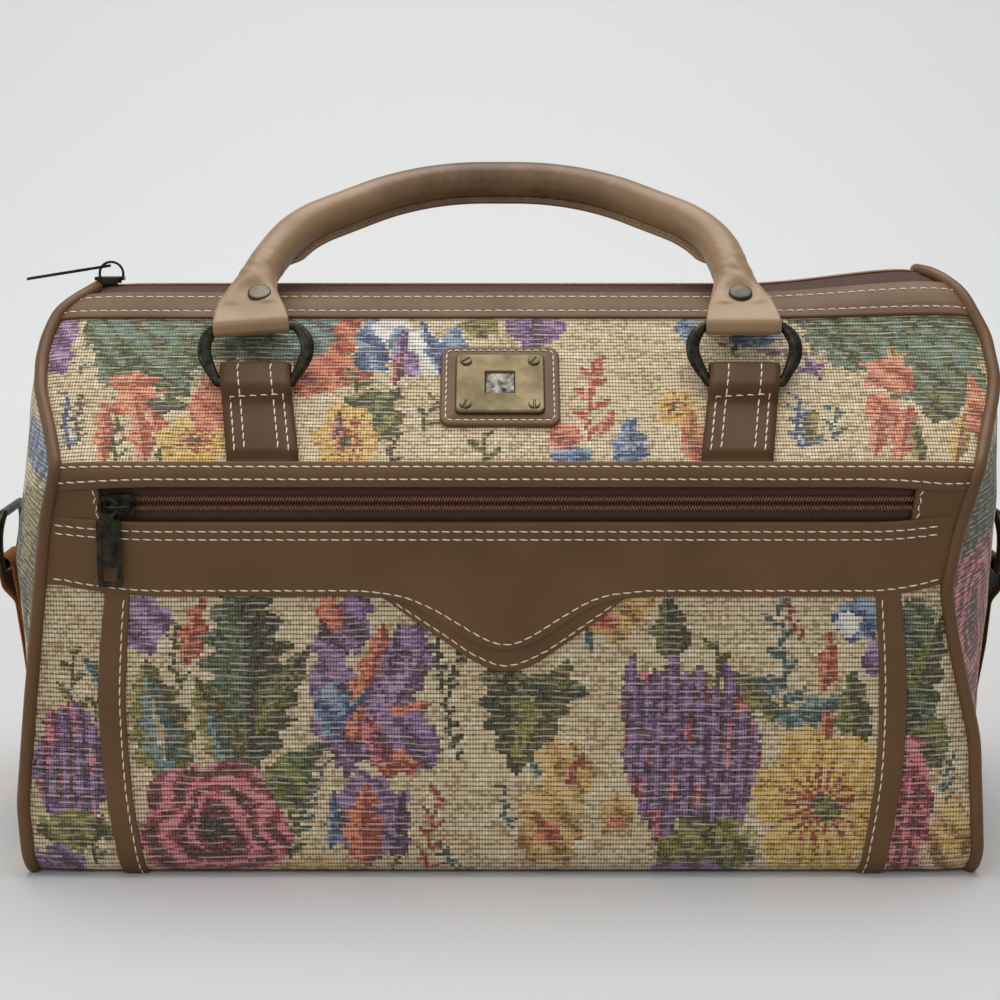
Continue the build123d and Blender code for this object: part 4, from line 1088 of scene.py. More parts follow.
topWave = 0.5 * (noise(np.linspace(0, 12, lineCount), 0, 81) - 0.5)
leather("band_top_front", acrossBag(18, topWave), acrossBag(37, topWave), trim["ply"],
        [acrossBag(23.2, topWave), acrossBag(33.2, topWave)], (5.2, 15.2), ("top_band_front",))
leather("band_top_back", acrossBag(-37), acrossBag(-18), trim["ply"],
        [acrossBag(-33.2), acrossBag(-23.2)], (3.8, 13.8), ("top_band_back",))
leather("band_upper", acrossBag(slopeEnd + 1.9), frontLine(trim["slotTop"]), trim["ply"],
        [acrossBag(slopeEnd + 4.4), frontLine(trim["slotTop"] + 3.4)], (2.5, -3.4), ("upper_band",))
leather("band_back", acrossBag(-132.3), acrossBag(-slopeEnd), trim["ply"],
        [acrossBag(-129), acrossBag(-slopeEnd - 3)], (3.3, -3), ("back_band",))

# The pocket band runs straight from the seams and dips into the V flap
seamsAt = leftSeam(atHeight(135)), rightSeam(atHeight(135))
bandX = np.linspace(*seamsAt, 320)
flap = smoothLine(trim["flapEdge"])
inFlap = (bandX > trim["flapTurns"][0]) & (bandX < trim["flapTurns"][1])
lowEdge = np.where(inFlap, atHeight(0) - np.interp(bandX, flap[:, 0], flap[:, 1]),
                   trim["bandLow"] + pinch(bandX, trim["lowPinch"]))
topEdge = np.stack([bandX, atHeight(trim["slotLow"] + pinch(bandX, trim["topPinch"]))], -1)
bottomEdge = np.stack([bandX, atHeight(lowEdge)], -1)


def lowRowSide(x0, x1):
    # the straight part of the band's lower stitch row between two x, as (x, s)
    x = np.linspace(x0, x1, 200)
    return np.stack([x, atHeight(trim["lowRow"] + pinch(x, trim["lowPinch"]))], -1)


def flapLevel(x):
    # the band's thickness: two plies over the flap's under ply, and one beside it
    return trim["ply"] + 1.1 * (1 - ramp(np.abs(x - trim["flapMiddle"]), 50, 66))


def pocketBand():
    # a grid across the band, thicker towards the flap, grooved under its rows and softly uneven
    flat = topEdge[:, None] + (bottomEdge - topEdge)[:, None] * np.linspace(0, 1, 47)[None, :, None]
    edge = np.minimum(flat[..., 1] - topEdge[:, None, 1], bottomEdge[:, None, 1] - flat[..., 1])
    edge[:, [0, -1]] = 0
    overUnder = ramp(flat[..., 1], atHeight(136), atHeight(124))
    v = (trim["ply"] + (flapLevel(bandX)[:, None] - trim["ply"]) * overUnder) * roundEdge(edge)
    rows = []
    for z in trim["bandRows"]:
        row = atHeight(z + pinch(bandX, trim["topPinch"]))
        v = v - strip["groove"] * np.exp(-((flat[..., 1] - row[:, None]) / strip["grooveHalf"]) ** 2)
        rows.append(sewnLine(np.stack([bandX, row], -1)[4:-4], trim["ply"]))
    v = v + 0.45 * (noise(flat[..., 0] / 34, flat[..., 1] / 26, 83) - 0.5) * np.clip(edge / 6, 0, 1)
    low = np.zeros((len(bandX), 1))
    flat = np.concatenate([flat[:, :1], flat, flat[:, -1:]], 1)
    v = np.concatenate([low, v, low], 1)
    addMesh("band_pocket", onBag(flat[..., 0], flat[..., 1], v), gridFaces(*flat.shape[:2])[:, ::-1],
            "bag", trimHide, replaced=("pocket_band",))
    line = along(np.concatenate([lowRowSide(seamsAt[0] + 3, -61), smoothLine(trim["flapRow"]),
                                 lowRowSide(61, seamsAt[1] - 3)]), trim["rowStep"])
    rows.append(stitchRow(*alongBand(line, flapLevel(line[:, 0]))))
    threads("band_pocket_stitches", rows, "bag", thread)


pocketBand()
underEdge = smoothLine(trim["underEdge"])
underTop = np.stack([underEdge[:, 0], np.full(len(underEdge), atHeight(trim["stripUnder"]))], -1)
leather("flap_under", underTop, underEdge, trim["underPly"], [smoothLine(trim["underRow"])], (),
        ("pocket_flap_under",))


def pocketStrip(name, side):
    # a ribbon between the strip's two curved edges, from under the band down to the base, with a
    # row of stitches near its inner edge
    z = np.linspace(trim["stripUnder"], trim["stripLow"], 160)
    s = atHeight(z)
    outer, inner = stripLine(z, trim["stripOuter"], side), stripLine(z, trim["stripInner"], side)
    rowIn = 2.5
    points = ribbon(np.stack([outer, s], -1), np.stack([inner, s], -1), 0, trim["underPly"], (-rowIn,))
    addMesh(name, points, gridFaces(*points.shape[:2])[:, ::-1 if side > 0 else 1], "bag", trimHide,
            replaced=("pocket_strip_" + sideWord(side),))
    row = np.stack([inner + side * rowIn, s], -1)[z < 124]
    threads(name + "_stitches", [sewnLine(row, trim["underPly"])], "bag", thread)


pocketStrip("strip_left", -1)
pocketStrip("strip_right", 1)

pipe = {"radius": 2.85, "uneven": 0.12, "sunk": 1, "footSunk": 1.9}


def piping(name, side):
    # a covered cord along the end seam: a circle carried round the profile, half sunk in it
    s = np.linspace(-baseMiddle, baseMiddle, 560)[:-1]
    seam = seamAt(s, side)
    sunk = lift(seam, s) - pipe["sunk"] - pipe["footSunk"] * ramp(np.abs(s), 285, 318)
    path = onBag(seam, s, sunk, False)
    radius = pipe["radius"] + pipe["uneven"] * (noise(s / 7, 0, 85) - 0.5)
    grid(name, tube(path, radius, 14, True, (1, 0, 0)), "bag", trimHide, True, True,
         replaced=("piping_" + sideWord(side),), shell=True)


piping("cord_left", -1)
piping("cord_right", 1)
print("trim done")

# Zips
teeth = {"pitch": 1.27, "middle": 1.95, "half": 1.15, "round": 0.5, "slant": 0.55, "high": 0.62}
tape = {"topReach": 22, "pocketReach": 9.5, "puff": 0.75, "puffAt": 5.6, "across": 41, "thick": 0.8}


def zipTape(name, x0, x1, s0, reach, level, soft, replaced):
    # both halves of a tape in one sheet with a thickness: it sinks where they meet, and puffs up
    # beside the coil; each end is one x, or one for each of the places across
    w = np.linspace(-reach, reach, tape["across"])
    x = np.linspace(x0 + 0 * w, x1 + 0 * w, int((np.max(x1) - np.min(x0)) / 4))
    puff = tape["puff"] * np.exp(-((np.abs(w) - tape["puffAt"]) / 1.7) ** 2) - np.exp(-(w / 0.8) ** 2)
    v = level + puff[None] + 0.25 * (noise(x / 19, w[None] / 4, 87) - 0.5)
    xx, ss = np.broadcast_arrays(x, s0 + w[None])
    piece = grid(name, onBag(xx, ss, v, soft), "bag", tapeCloth, flip=True, uv=np.stack([xx, ss], -1),
                 replaced=replaced)
    thicken(piece, tape["thick"])


def coilRows(name, x0, x1, s0, level, soft, replaced):
    # a bead for each tooth: an egg that lies aslant over its side of the tape
    x = np.arange(x0, x1, teeth["pitch"])
    t = np.linspace(0.25, np.pi - 0.25, 6)
    turn = np.linspace(0, 2 * np.pi, 6, endpoint=False)
    rows = []
    for side in (-1, 1):
        across = -np.cos(t)[:, None] * teeth["half"] * 1.03 + 0 * turn
        slant = teeth["slant"] * side * np.cos(t)[:, None]
        ahead = teeth["round"] * np.sin(t)[:, None] * np.cos(turn) - slant
        high = teeth["high"] * np.sin(t)[:, None] * np.sin(turn)
        beside = s0 + side * teeth["middle"] + across
        rows.append(onBag(x[:, None, None] + ahead, beside, level + high, soft))
    threads(name, rows, "bag", coilPlastic, replaced)


zipLine = atHeight(163.1)
topReach = tape["topReach"]
topAcross = np.linspace(-topReach, topReach, tape["across"])
zipTape("tape_top", leftSeam(topAcross) + 1, rightSeam(topAcross) - 1, 0, topReach, -0.7, True,
        ("top_zip_tape",))
coilRows("coil_top", leftSeam(0) + 2, rightSeam(0) - 2, 0, 0.1, True, ("top_zip_coil",))
zipTape("tape_pocket", -172, 177, zipLine, tape["pocketReach"], -3.3, False, ("pocket_zip_tape",))
coilRows("coil_pocket", -170.5, 176.5, zipLine, -2.5, False, ("pocket_zip_coil",))

# The two blocks: height of their ends, where each stands at the slot's top, its slant, its stitches
block = {"top": 173, "low": 153.5, -1: (-170, 0.12), 1: (176.4, -0.11), "rowIn": 2.3, "waver": 0.45}


def endBlock(name, side):
    # a square of leather that closes the pocket's slot, with one wavering row of stitches
    z = np.linspace(block["top"], block["low"], 30)
    s = atHeight(z)
    start, slant = block[side]
    inner = start + (trim["slotTop"] - z) * slant
    outer = seamAt(s, side)
    t = np.linspace(0, 1, 26)
    x = inner[:, None] + (outer - inner)[:, None] * t[None]
    edge = np.abs(x - inner[:, None])
    v = -1.1 + 0.9 * (0.3 + 0.7 * np.sqrt(np.clip(edge / 0.9, 0, 1))) - 0.5 * t[None] ** 3
    v = np.concatenate([np.full((len(z), 1), -3.2), v], 1)
    x = np.concatenate([x[:, :1], x], 1)
    faces = gridFaces(*x.shape)[:, ::1 if side > 0 else -1]
    addMesh(name, onBag(x, s[:, None], v, False), faces, "bag", trimHide,
            replaced=("zip_end_block_" + sideWord(side),))
    run = np.linspace(trim["slotTop"], trim["slotLow"], 40)
    line = np.interp(run, z[::-1], inner[::-1])
    line = line + side * (block["rowIn"] + block["waver"] * np.sin(run * 1.35))
    path = onBag(line, atHeight(run), -0.25, False)
    row = stitchRow(path, outOfBag(line, atHeight(run)), 3.6, 3.0)
    threads(name + "_stitches", [row], "bag", thread)


endBlock("block_left", -1)
endBlock("block_right", 1)
print("zips done")


# Name patch, plate and screws, on the flat of the slope
label = {"middle": 40.5, "patch": (52, 46, 5), "plate": (39, 34.6, 3), "sunkHalf": 6.5, "screw": 2.6,
         "screwAt": (14.9, 12.7), "floorCorner": 0.5}


def roundedBox(width, height, corner, inset, count=72):
    # the outline of a rectangle with round corners, pulled in by inset, at an even run round it
    w, h = width / 2 - inset, height / 2 - inset
    r = max(corner - inset, 0.15)
    turn = np.linspace(0, np.pi / 2, count // 4, endpoint=False) + np.pi / 2 * np.arange(4)[:, None]
    cx = np.array([1, -1, -1, 1])[:, None] * (w - r)
    cy = np.array([1, 1, -1, -1])[:, None] * (h - r)
    return np.stack([cx + r * np.cos(turn), cy + r * np.sin(turn)], -1).reshape(-1, 2)


def onSlope(x, up, v):
    # points on the slope, measured from the label's middle
    return onBag(x, slopeEnd - label["middle"] - up, v, False)


def outlineAt(level, width, height, corner, inset=0.0, count=72):
    # a rounded outline as a ring of (x, up, level)
    return np.concatenate([roundedBox(width, height, corner, inset, count), np.full((count, 1), level)], 1)


def stacked(rings):
    # a closed low solid on the slope: rings from its underside to its top, each end closed at its
    # middle point
    first, last = (np.tile([[0, 0, ring[0, 2]]], (len(ring), 1)) for ring in (rings[0], rings[-1]))
    flat = np.stack([first, *rings, last])
    return onSlope(flat[..., 0], flat[..., 1], flat[..., 2])


def boss(layers, width, height, corner, count=72):
    # the rings of a low solid whose outline is pulled in by (inset, level), layer by layer
    return [outlineAt(level, width, height, corner, inset, count) for inset, level in layers]


patchLayers = [(0.4, -0.9), (0, 0.2), (0, 1.3), (0.25, 1.8), (0.8, 2.05), (2.0, 2.1), (2.5, 1.85),
               (3.0, 2.1), (8, 2.1), (16, 2.05)]
grid("patch", stacked(boss(patchLayers, *label["patch"])), "bag", trimHide, False, True,
     replaced=("name_patch",), shell=True)
patchRow = roundedBox(*label["patch"], 2.5, 360)
patchRow = np.concatenate([patchRow, patchRow[:1]])
patchOut = outOfBag(patchRow[:, 0], slopeEnd - label["middle"] - patchRow[:, 1])
threads("patch_stitches", [stitchRow(onSlope(patchRow[:, 0], patchRow[:, 1], 2.1), patchOut, 3.5, 2.8)],
        "bag", thread)

# The plate's outline closes in to a square, whose rim is raised a hair and whose floor is sunk
sunk = label["sunkHalf"]
plateLayers = [(0.3, 2.0), (0, 2.2), (0, 3.2), (0.3, 3.6), (0.9, 3.75), (1.8, 3.8)]
squares = [(sunk + 1.6, 3.8), (sunk + 0.5, 3.95), (sunk, 3.95), (sunk - 0.12, 3.1), (sunk - 1.4, 3.05)]
plateRings = [outlineAt(level, 2 * half, 2 * half, label["floorCorner"]) for half, level in squares]
grid("plate_metal", stacked(boss(plateLayers, *label["plate"]) + plateRings), "bag", brass, False, True,
     replaced=("name_plate",), shell=True)
floorLayers = [(0.2, 3.0), (0.2, 3.12), (0.5, 3.16), (2, 3.14)]
grid("plate_floor", stacked(boss(floorLayers, 2 * sunk, 2 * sunk, label["floorCorner"], 24)), "bag",
     sunkMetal, False, True, shell=True)


def disc(radius, power, rows, sides):
    # a round cap as (t, x, y): rings that widen from its middle, t = 0, to its rim, t = 1
    t = np.linspace(0, 1, rows)[:, None]
    turn = np.linspace(0, 2 * np.pi, sides, endpoint=False)
    reach = radius * np.sin(np.pi / 2 * t) ** power
    return t, reach * np.cos(turn), reach * np.sin(turn)


def screws():
    # slotted heads: each is a low dome with a slot let into it at a slant
    parts = []
    for k, (x, y) in enumerate([(-1, 1), (1, 1), (-1, -1), (1, -1)]):
        t, px, py = disc(label["screw"], 0.8, 14, 48)
        angle = np.radians(38 + 17 * k)
        off = np.abs(px * np.sin(angle) - py * np.cos(angle))
        level = 4.62 - 0.5 * t ** 3 - 0.42 * (t > 0.97) - 0.5 * (1 - ramp(off, 0.22, 0.48)) * (t < 0.97)
        head = onSlope(px + x * label["screwAt"][0], py + y * label["screwAt"][1], level)
        parts.append((head, False, True))
    joined("screw_heads", parts, "bag", brass, replaced=("plate_screws",), shell=True)


screws()
print("patch and plate done")

# Handle tabs, rings and handles
hang = {"tabWidth": 30.6, "footIn": 6.4, "tabLength": 51, "barOut": 4.1, "wire": 2.1, "ply": 1.6,
        "bar": 16.0, "ringHeight": 27, "bow": 6.6, "face": 54,
        "frontBar": (-68.374, 211.424), "frontHandleBar": (-55.698, 235.264),
        "rearHandleBar": (94.784, 205.811),
        "frontRing": 62, "rearRing": -12, "frontHandle": 34, "rearHandle": -61}


def tabPath(length, out, foot=0.0):
    # (u, v) along a tab's ply: up its face, over the hump of the folded ply, round the bar and
    # back; its foot may dive under the band below it
    u = np.linspace(-foot, length - out, 50)
    upper = 2.4 + (2 * out - 0.8 - 2.4) * ramp(u, length - 23.5, length - 14)
    upper = upper - (2.1 * (1 - ramp(u, -1.5, 3)) if foot else 0)
    turn = np.linspace(np.pi / 2, -np.pi / 2, 14)
    bend = np.stack([length - out + (out - 0.8) * np.cos(turn), out + (out - 0.8) * np.sin(turn)], -1)
    back = np.stack([np.linspace(length - out, 0, 30), np.full(30, 0.8)], -1)
    return np.concatenate([np.stack([u, upper], -1)[:-1], bend, back[1:]])


def handleTab(name, side, facing):
    # a strap on the slope that is folded round a ring's bar, with a box of stitches and two rows
    # above it; facing is 1 at the front and -1 at the back
    path = tabPath(hang["tabLength"], hang["barOut"], 3.5)
    step = frames(path)

    def place(u, v):
        # its foot is sewn on nearer to the bag's middle than its top
        x = side * (tabX - hang["footIn"] * np.clip(1 - u / 44, 0, 1))
        return onBag(x, facing * (slopeEnd - u), v, False)

    def outAt(u):
        return outOfBag(side * tabX + 0 * u, facing * (slopeEnd - u))

    centre = place(path[:, 0], path[:, 1])
    out = unit(place(path[:, 0] - step[:, 1] * 0.1, path[:, 1] + step[:, 0] * 0.1) - centre)
    across = np.broadcast_to([1.0, 0, 0], centre.shape)
    grid(name, strap(centre, out, across, hang["tabWidth"], hang["ply"]), "bag", tabHide, False, True,
         replaced=(("front" if facing > 0 else "rear") + "_tab_" + sideWord(side),), shell=True)
    faceU, faceV = path[:hang["face"]].T
    rows = []
    for offset in (-7.3, 7.0):
        at = np.linspace(1.5, 49.5, 70)
        u, v = np.interp(at, faceU, faceU), np.interp(at, faceU, faceV)
        rows.append(stitchRow(place(u, v) + [offset, 0, 0] + outAt(u) * 0.8, outAt(u)))
    foot, top, left, right = 1.5, 31.0, -11.6, 11.4
    x = np.concatenate([np.full(40, left), np.linspace(left, right, 30)[1:], np.full(39, right)])
    u = np.concatenate([np.linspace(foot, top, 40), np.linspace(top, top + 1, 30)[1:],
                        np.linspace(top + 1, foot, 40)[1:]])
    line = place(u, np.interp(u, faceU, faceV) + 0.8) + x[:, None] * [1, 0, 0]
    rows.append(stitchRow(line, outAt(u)))
    threads(name + "_stitches", rows, "bag", thread)


for side in (-1, 1):
    handleTab("tab_front_" + sideWord(side), side, 1)
    handleTab("tab_rear_" + sideWord(side), side, -1)


def bentPath(points, radii, step):
    # straight runs joined by arcs: each corner is cut back and turned at its radius
    points = np.array(points, float)
    run = [points[:1]]
    for k in range(1, len(points) - 1):
        a, b = unit(points[k - 1] - points[k]), unit(points[k + 1] - points[k])
        half = np.arccos(np.clip(np.dot(a, b), -1, 1)) / 2
        cut = radii[k - 1] / np.tan(half)
        centre = points[k] + unit(a + b) * radii[k - 1] / np.sin(half)
        first, last = points[k] + a * cut - centre, points[k] + b * cut - centre
        t = np.linspace(0, 1, 24)[:, None]
        span = np.pi - 2 * half
        arc = (first * np.sin((1 - t) * span) + last * np.sin(t * span)) / max(np.sin(span), 1e-6)
        run.append(centre + arc)
    run.append(points[-1:])
    return along(np.concatenate(run), step)


def hung(points, bar, angle, x=0.0):
    # turns flat points (x, y up the piece, z out of it) about the bar to the piece's angle
    a = np.radians(angle)
    return np.stack([points[..., 0] + x,
                     bar[0] + points[..., 1] * np.cos(a) - points[..., 2] * np.sin(a),
                     bar[1] + points[..., 1] * np.sin(a) + points[..., 2] * np.cos(a)], -1)


def ovalRing(name, place, bodyName, replaced):
    # an oval of wire whose legs are flattened and bow outwards
    t = np.linspace(0, 1, 120)
    bulge = np.sin(np.pi * t ** 1.35) ** 0.72
    half = np.stack([hang["bar"] + hang["bow"] * bulge, hang["ringHeight"] * t], -1)
    half[-1, 0] = hang["bar"]
    loop = along(np.concatenate([half, half[::-1] * [-1, 1], half[:1]]), 0.8)[:-1]
    leg = ramp(np.abs(loop[:, 0]), hang["bar"] + 1, hang["bar"] + hang["bow"])
    path = np.stack([loop[:, 0], loop[:, 1], 0 * leg], -1)
    tangent = unit(np.roll(path, -1, 0) - np.roll(path, 1, 0))
    outward = np.cross(tangent, [0, 0, 1.0])
    turn = np.linspace(0, 2 * np.pi, 20, endpoint=False)
    flat = hang["wire"] + 0.9 * leg
    ring = path[:, None] + outward[:, None] * (flat[:, None] * np.cos(turn))[..., None]
    ring = ring + np.array([0, 0, 1.0]) * ((hang["wire"] - 0.2 * leg)[:, None] * np.sin(turn))[..., None]
    grid(name, place(ring), bodyName, gunmetal, True, True, replaced=replaced, shell=True)


frontBar, rearBar = hang["frontBar"], (-hang["frontBar"][0], hang["frontBar"][1])
for side in (-1, 1):
    word = sideWord(side)
    ovalRing("oval_front_" + word, lambda p: hung(p, frontBar, hang["frontRing"], side * tabX),
             "front_ring_" + word[0], ("front_ring_" + word,))
    ovalRing("oval_rear_" + word, lambda p: hung(p, rearBar, hang["rearRing"], side * tabX),
             "rear_ring_" + word[0], ("rear_ring_" + word,))

# A handle: its route is (x, y up the piece) on the left, with the radius of each turn
grip = {"radius": 8.75, "footWidth": 16.5, "loop": 4.3, "rivet": 17, "rivetRadius": 5.2, "rivetHigh": 6.1,
        "route": [(-tabX, -4.3), (-tabX, 10), (-105.5, 36), (-99.5, 70), (-38, 111.5)],
        "turns": [60, 60, 50, 100], "askew": 7, "weltTilt": -38, "weltDeep": 6.5, "weltOut": 7.1}


def gripPath():
    # the left half's route, mirrored for the right half, with its corners turned as arcs
    half = grip["route"]
    points = half + [(-x, y) for x, y in half[::-1]]
    return bentPath(points, grip["turns"] + grip["turns"][::-1], 1.0)


def handleSection(path):
    # half-width, face height and edge height of the leather at each point of the path: a tube
    # above, which flares and flattens into a strap folded round the ring's bar
    y = path[:, 1]
    width = grip["footWidth"] - (grip["footWidth"] - grip["radius"]) * ramp(y, -2, 38) ** 0.95
    loop = grip["loop"]
    high = loop + 0.7 * ramp(y, 6, 14) + (grip["radius"] - loop - 0.7) * ramp(y, 16, 40)
    high = np.where(y < 0, np.sqrt(np.clip(loop ** 2 - y ** 2, 0.02, None)), high)
    edge = high * (1 - ramp(y, 8, 34))
    return width, high, edge


def handle(name, bar, angle, bodyName, replaced, rivets):
    # the section carried along the path, with creases, dimples and a skewed foot, then its seam
    # and its rivets; bar is the (y, z) that it turns about and angle how far it leans
    path = gripPath()
    width, high, edge = handleSection(path)
    tangent = frames(path)
    across = np.stack([tangent[:, 1], -tangent[:, 0]], -1)
    run = np.arange(len(path), dtype=float)
    b = np.sin(np.linspace(-np.pi / 2, np.pi / 2, 26))
    b = np.concatenate([b, b[::-1]])
    face = np.repeat([1.0, -1.0], 26)
    z = face * (edge[:, None] + (high - edge)[:, None] * np.sqrt(np.clip(1 - b ** 2, 0, 1)))
    soft = np.clip((1 - np.abs(b))[None] * width[:, None] / 0.8, 0, 1)
    z = z * (0.8 + 0.2 * np.sqrt(soft))
    # creases: rings on the inner side at the crown, slanting wrinkles in the necks, and the
    # rivets' dimples
    crown = ramp(path[:, 1], 70, 104)[:, None]
    inner = ramp(b * np.ones((len(path), 1)), 0.1, 1.0)
    rings = np.sin(run * 0.95 + 2.2 * noise(run / 7, 0, 91))[:, None] * 0.18 * crown * inner
    neck = np.exp(-((path[:, 1] - 37) / 10) ** 2)[:, None]
    wrinkle = (noise(run[:, None] / 2.6 + b * 1.8, b * 2.2, 93) - 0.5) * 1.3 * neck
    size = 1 + (rings + wrinkle) / grip["radius"] + 0.012 * (noise(run / 16, 4, 94)[:, None] - 0.5)
    x = b * width[:, None] * (1 + (size - 1) * 0.6)
    z = z * size
    px = path[:, 0:1] + across[:, 0:1] * x
    py = path[:, 1:2] + across[:, 1:2] * x
    away = np.hypot(np.abs(px) - tabX, py - grip["rivet"])
    foot = ramp(44 - path[:, 1:2], 0, 6)
    z = z - face * 0.75 * np.exp(-(away / 6.5) ** 4) * foot
    z = z + face * 0.5 * np.exp(-((away - 9.5) / 3) ** 2) * foot * (edge[:, None] < high[:, None] * 0.98)
    # the left foot hangs a little askew on its ring
    turn = np.radians(grip["askew"]) * (1 - ramp(py, 12, 62)) * (px < 0)
    dx, dy = px + tabX, py
    px = dx * np.cos(turn) - dy * np.sin(turn) - tabX - 2.5 * (1 - ramp(dy, 12, 62)) * (px < 0)
    py = dx * np.sin(turn) + dy * np.cos(turn)
    local = np.stack([px, py, z], -1)
    first, last = local[:1].mean(1, keepdims=True), local[-1:].mean(1, keepdims=True)
    ends = np.ones((1, local.shape[1], 1))
    local = np.concatenate([first * ends, local, last * ends])
    grid(name, hung(local, bar, angle), bodyName, handleHide, False, True, replaced=replaced, shell=True)
    # the seam: a narrow welt of two plies along the tube's inner side, sewn through, whose ends
    # dive into the tube
    keep = path[:, 1] > 40
    line, cross = path[keep], across[keep]
    place = np.arange(len(line))
    rise = ramp(place, 0, 24) * ramp(len(line) - 1 - place, 0, 24)
    tilt = np.radians(grip["weltTilt"])
    weltOut = np.concatenate([cross * np.cos(tilt), np.full((len(line), 1), np.sin(tilt))], 1)
    centre = np.concatenate([line, np.zeros((len(line), 1))], 1)
    centre = centre + weltOut * (grip["radius"] - grip["weltDeep"] + grip["weltOut"] * rise)[:, None]
    weltSide = unit(np.cross(weltOut, frames(centre)))
    welt = strap(centre, weltSide, weltOut, 4.6, 1.9)
    grid(name + "_welt", hung(welt, bar, angle), bodyName, handleHide, False, True, shell=True)
    rows = []
    for sign in (1, -1):
        seam = centre + weltOut * 0.5 + weltSide * sign * 0.95
        sewn = hung(seam, bar, angle)
        rows.append(stitchRow(sewn, hung(seam + weltSide * sign, bar, angle) - sewn, 3.2, 2.3, 0.24))
    threads(name + "_stitches", rows, bodyName, threadDark)
    parts = []
    t, x, y = disc(grip["rivetRadius"], 0.7, 12, 36)
    level = grip["rivetHigh"] - 1.1 * t ** 4 - (t > 0.97) + 0 * x
    for side in (-1, 1):
        for face in (-1, 1):
            cap = np.stack([x + side * tabX, y + grip["rivet"], face * level], -1)
            parts.append((hung(cap, bar, angle), False, True))
    joined(rivets[0], parts, bodyName, rivetMetal, replaced=(rivets[1],), shell=True)


handle("grip_front", hang["frontHandleBar"], hang["frontHandle"], "front_grip", ("front_handle",),
       ("caps_front", "front_handle_rivets"))
handle("grip_rear", hang["rearHandleBar"], hang["rearHandle"], "rear_grip", ("rear_handle",),
       ("caps_rear", "rear_handle_rivets"))
print("handles done")

# End tabs and strap rings
endHang = {"levels": (50, 80, 100, 123), -1: (222, 225, 227.4, 230.85), 1: (224.6, 229, 230.6, 230.85),
           "foot": 50, "length": 73, "width": 26, "barX": 234.95, "barZ": 116.8, "lean": 4,
           "boxLow": 4, "boxTop": 44, "boxHalf": 10}


def endTab(name, side, material):
    # a folded strap up the end's cloth, with one box of stitches
    path = tabPath(endHang["length"], hang["barOut"])
    step = frames(path)

    def back(u):
        # it leans in towards its foot, as the cloth under it does
        return np.interp(endHang["foot"] + u, endHang["levels"], endHang[side])

    def place(u, v, y):
        return np.stack([side * (back(u) + v), y, endHang["foot"] + u], -1)

    centre = place(path[:, 0], path[:, 1], 0 * path[:, 0])
    out = np.stack([side * step[:, 0], 0 * step[:, 0], -step[:, 1]], -1)
    across = np.broadcast_to([0, 1.0, 0], centre.shape)
    grid(name, strap(centre, out, across, endHang["width"], hang["ply"]), "bag", material, False, True,
         replaced=("end_tab_" + sideWord(side),), shell=True)
    low, top, half = float(endHang["boxLow"]), float(endHang["boxTop"]), float(endHang["boxHalf"])
    u = np.concatenate([np.full(30, low), np.linspace(low, top, 60)[1:], np.full(29, top),
                        np.linspace(top, low, 60)[1:]])
    y = np.concatenate([np.linspace(-half, half, 30), np.full(59, half), np.linspace(half, -half, 30)[1:],
                        np.full(59, -half)])
    level = np.interp(u, *path[:hang["face"]].T) + 0.8
    line = place(u, level, y)
    away = np.broadcast_to([float(side), 0, 0], line.shape)
    threads(name + "_stitches", [stitchRow(line, away)], "bag", thread)


endTab("tab_end_left", -1, suede)
endTab("tab_end_right", 1, tabHide)


def endPlace(side):
    # hangs flat points on an end's bar, leaning in at the top
    lean = np.radians(endHang["lean"])

    def place(p):
        x = endHang["barX"] - p[..., 1] * np.sin(lean) + p[..., 2] * np.cos(lean)
        z = endHang["barZ"] + p[..., 1] * np.cos(lean) + p[..., 2] * np.sin(lean)
        return np.stack([side * x, p[..., 0], z], -1)
    return place


ovalRing("oval_end_left", endPlace(-1), "end_ring_l", ("end_ring_left",))
ovalRing("oval_end_right", endPlace(1), "end_ring_r", ("end_ring_right",))


lining = {"topGap": 15, "endGap": 10.0, "in": 6.5, "floor": 6.3}


def liningBag():
    # the lining hangs inside the cloth: the same profile, further in, closed at both ends
    s = np.linspace(-baseMiddle, baseMiddle, 200)[:-1]
    s = np.where(np.abs(s) < lining["topGap"], np.sign(s + 0.01) * lining["topGap"], s)
    t = np.concatenate([[0], np.linspace(0, 1, 20), [1]])
    x0, x1 = leftSeam(s) + lining["endGap"], rightSeam(s) - lining["endGap"]
    x = x0[:, None] + (x1 - x0)[:, None] * t[None]
    points = onBag(x, s[:, None], -lining["in"], False)
    points[:, 0], points[:, -1] = points[:, 1].mean(0), points[:, -2].mean(0)
    points[..., 2] = np.maximum(points[..., 2], lining["floor"])
    grid("lining_bag", points, "bag", liningCloth, True, False, flip=True, replaced=("lining_sack",))


liningBag()

# Frame nodes shown as they are, with their finishes
finishOf = {"top_zip_slider": gunmetal, "top_zip_pull": gunmetal, "pocket_zip_slider": gunmetal,
            "pocket_zip_pull": gunmetal, "base_board": boardCard, "pocket_lining": liningCloth}
for node, material in finishOf.items():
    piece = nodes[node]
    piece.data.materials.clear()
    piece.data.materials.append(material)
print("ends, lining and frame pieces done")


# Floor, backdrop, light and camera, in metres
# the floor's grey, far, is darker than the backdrop's tone: painted shade on the floor
backdrop = {"near": -3, "bendAt": 1.4, "bend": 0.7, "top": 3.2, "halfWidth": 3.2, "sunk": 0.0004,
            "tone": (238, 239, 238), "far": (197, 196, 196)}


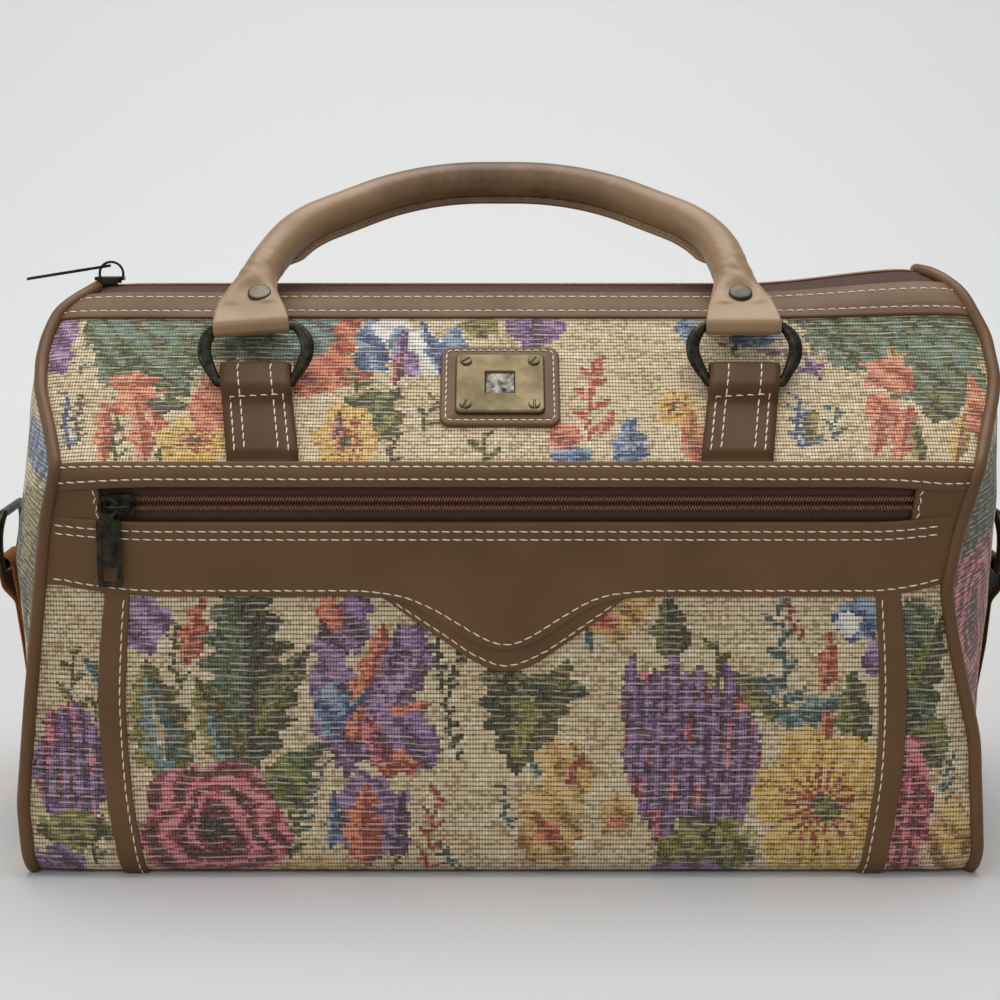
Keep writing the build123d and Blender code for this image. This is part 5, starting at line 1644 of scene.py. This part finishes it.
def stageSheet():
    # a floor that curves up through a quarter circle into a backdrop well behind the bag, its flat part
    # painted a darker grey than the backdrop as shade
    start, bend = backdrop["bendAt"], backdrop["bend"]
    turn = np.linspace(0, np.pi / 2, 14)
    y = np.concatenate([np.linspace(backdrop["near"], start, 8), start + bend * np.sin(turn),
                        np.full(5, start + bend)])
    z = np.concatenate([np.zeros(8), bend - bend * np.cos(turn), np.linspace(bend, backdrop["top"], 5)])
    x = np.array([-backdrop["halfWidth"], backdrop["halfWidth"]])
    points = np.stack(np.broadcast_arrays(x[None], y[:, None], z[:, None] - backdrop["sunk"]), -1)
    mesh = bpy.data.meshes.new("backdrop")
    mesh.from_pydata(points.reshape(-1, 3).tolist(), [], gridFaces(len(y), 2)[:, ::-1].tolist())
    mesh.polygons.foreach_set("use_smooth", np.full(len(mesh.polygons), True))
    paper = Recipe("pale backdrop", backdrop["tone"], 0.85)
    split = paper.tree.nodes.new("ShaderNodeSeparateXYZ")
    paper.tree.links.new(paper.coords(), split.inputs[0])
    # painted shade: the darker grey covers the floor up to 0.35 m behind the bag's middle and blends into
    # the pale tone by 1.5 m
    far = paper.remap(split.outputs[1], 0.35, 1.5)
    mesh.materials.append(paper.done(Base_Color=paper.mix(far, backdrop["far"], backdrop["tone"])))
    sheet = bpy.data.objects.new("backdrop", mesh)
    bpy.context.collection.objects.link(sheet)


stageSheet()


def softBox(name, place, aim, size, power, tone):
    # a rectangle of light at a place, turned to face what it aims at
    light = bpy.data.lights.new(name, "AREA")
    light.shape, light.size, light.size_y, light.energy, light.color = "RECTANGLE", *size, power, tone
    lamp = bpy.data.objects.new(name, light)
    lamp.location = place
    away = Vector(place) - Vector(aim)
    lamp.rotation_euler = away.to_track_quat("Z", "Y").to_euler()
    bpy.context.collection.objects.link(lamp)


softBox("overhead", (0.0, 0.25, 1.9), (0, 0, 0.1), (1.8, 1.4), 30, (1, 0.985, 0.965))
softBox("front", (-0.5, -2.0, 1.5), (0, 0, 0.15), (1.6, 1.2), 8.5, (1, 0.99, 0.98))
softBox("left", (-1.7, -0.4, 0.9), (0, 0, 0.15), (1.0, 1.2), 6, (0.98, 0.99, 1))

world = bpy.data.worlds.new("studio")
bpy.context.scene.world = world
world.use_nodes = True
air = world.node_tree.nodes["Background"]
air.inputs["Color"].default_value = (*linear(235, 238, 240), 1)
air.inputs["Strength"].default_value = 0.55

lens = bpy.data.cameras.new("camera")
lens.lens, lens.sensor_width = view["lens"], view["sensor"]
lens.clip_start, lens.clip_end = 0.05, 20
camera = bpy.data.objects.new("camera", lens)
camera.location = view["place"]
camera.rotation_euler = (np.radians(90 - view["down"]), 0, 0)
bpy.context.collection.objects.link(camera)
bpy.context.scene.camera = camera
bpy.context.scene.view_settings.view_transform = "Standard"
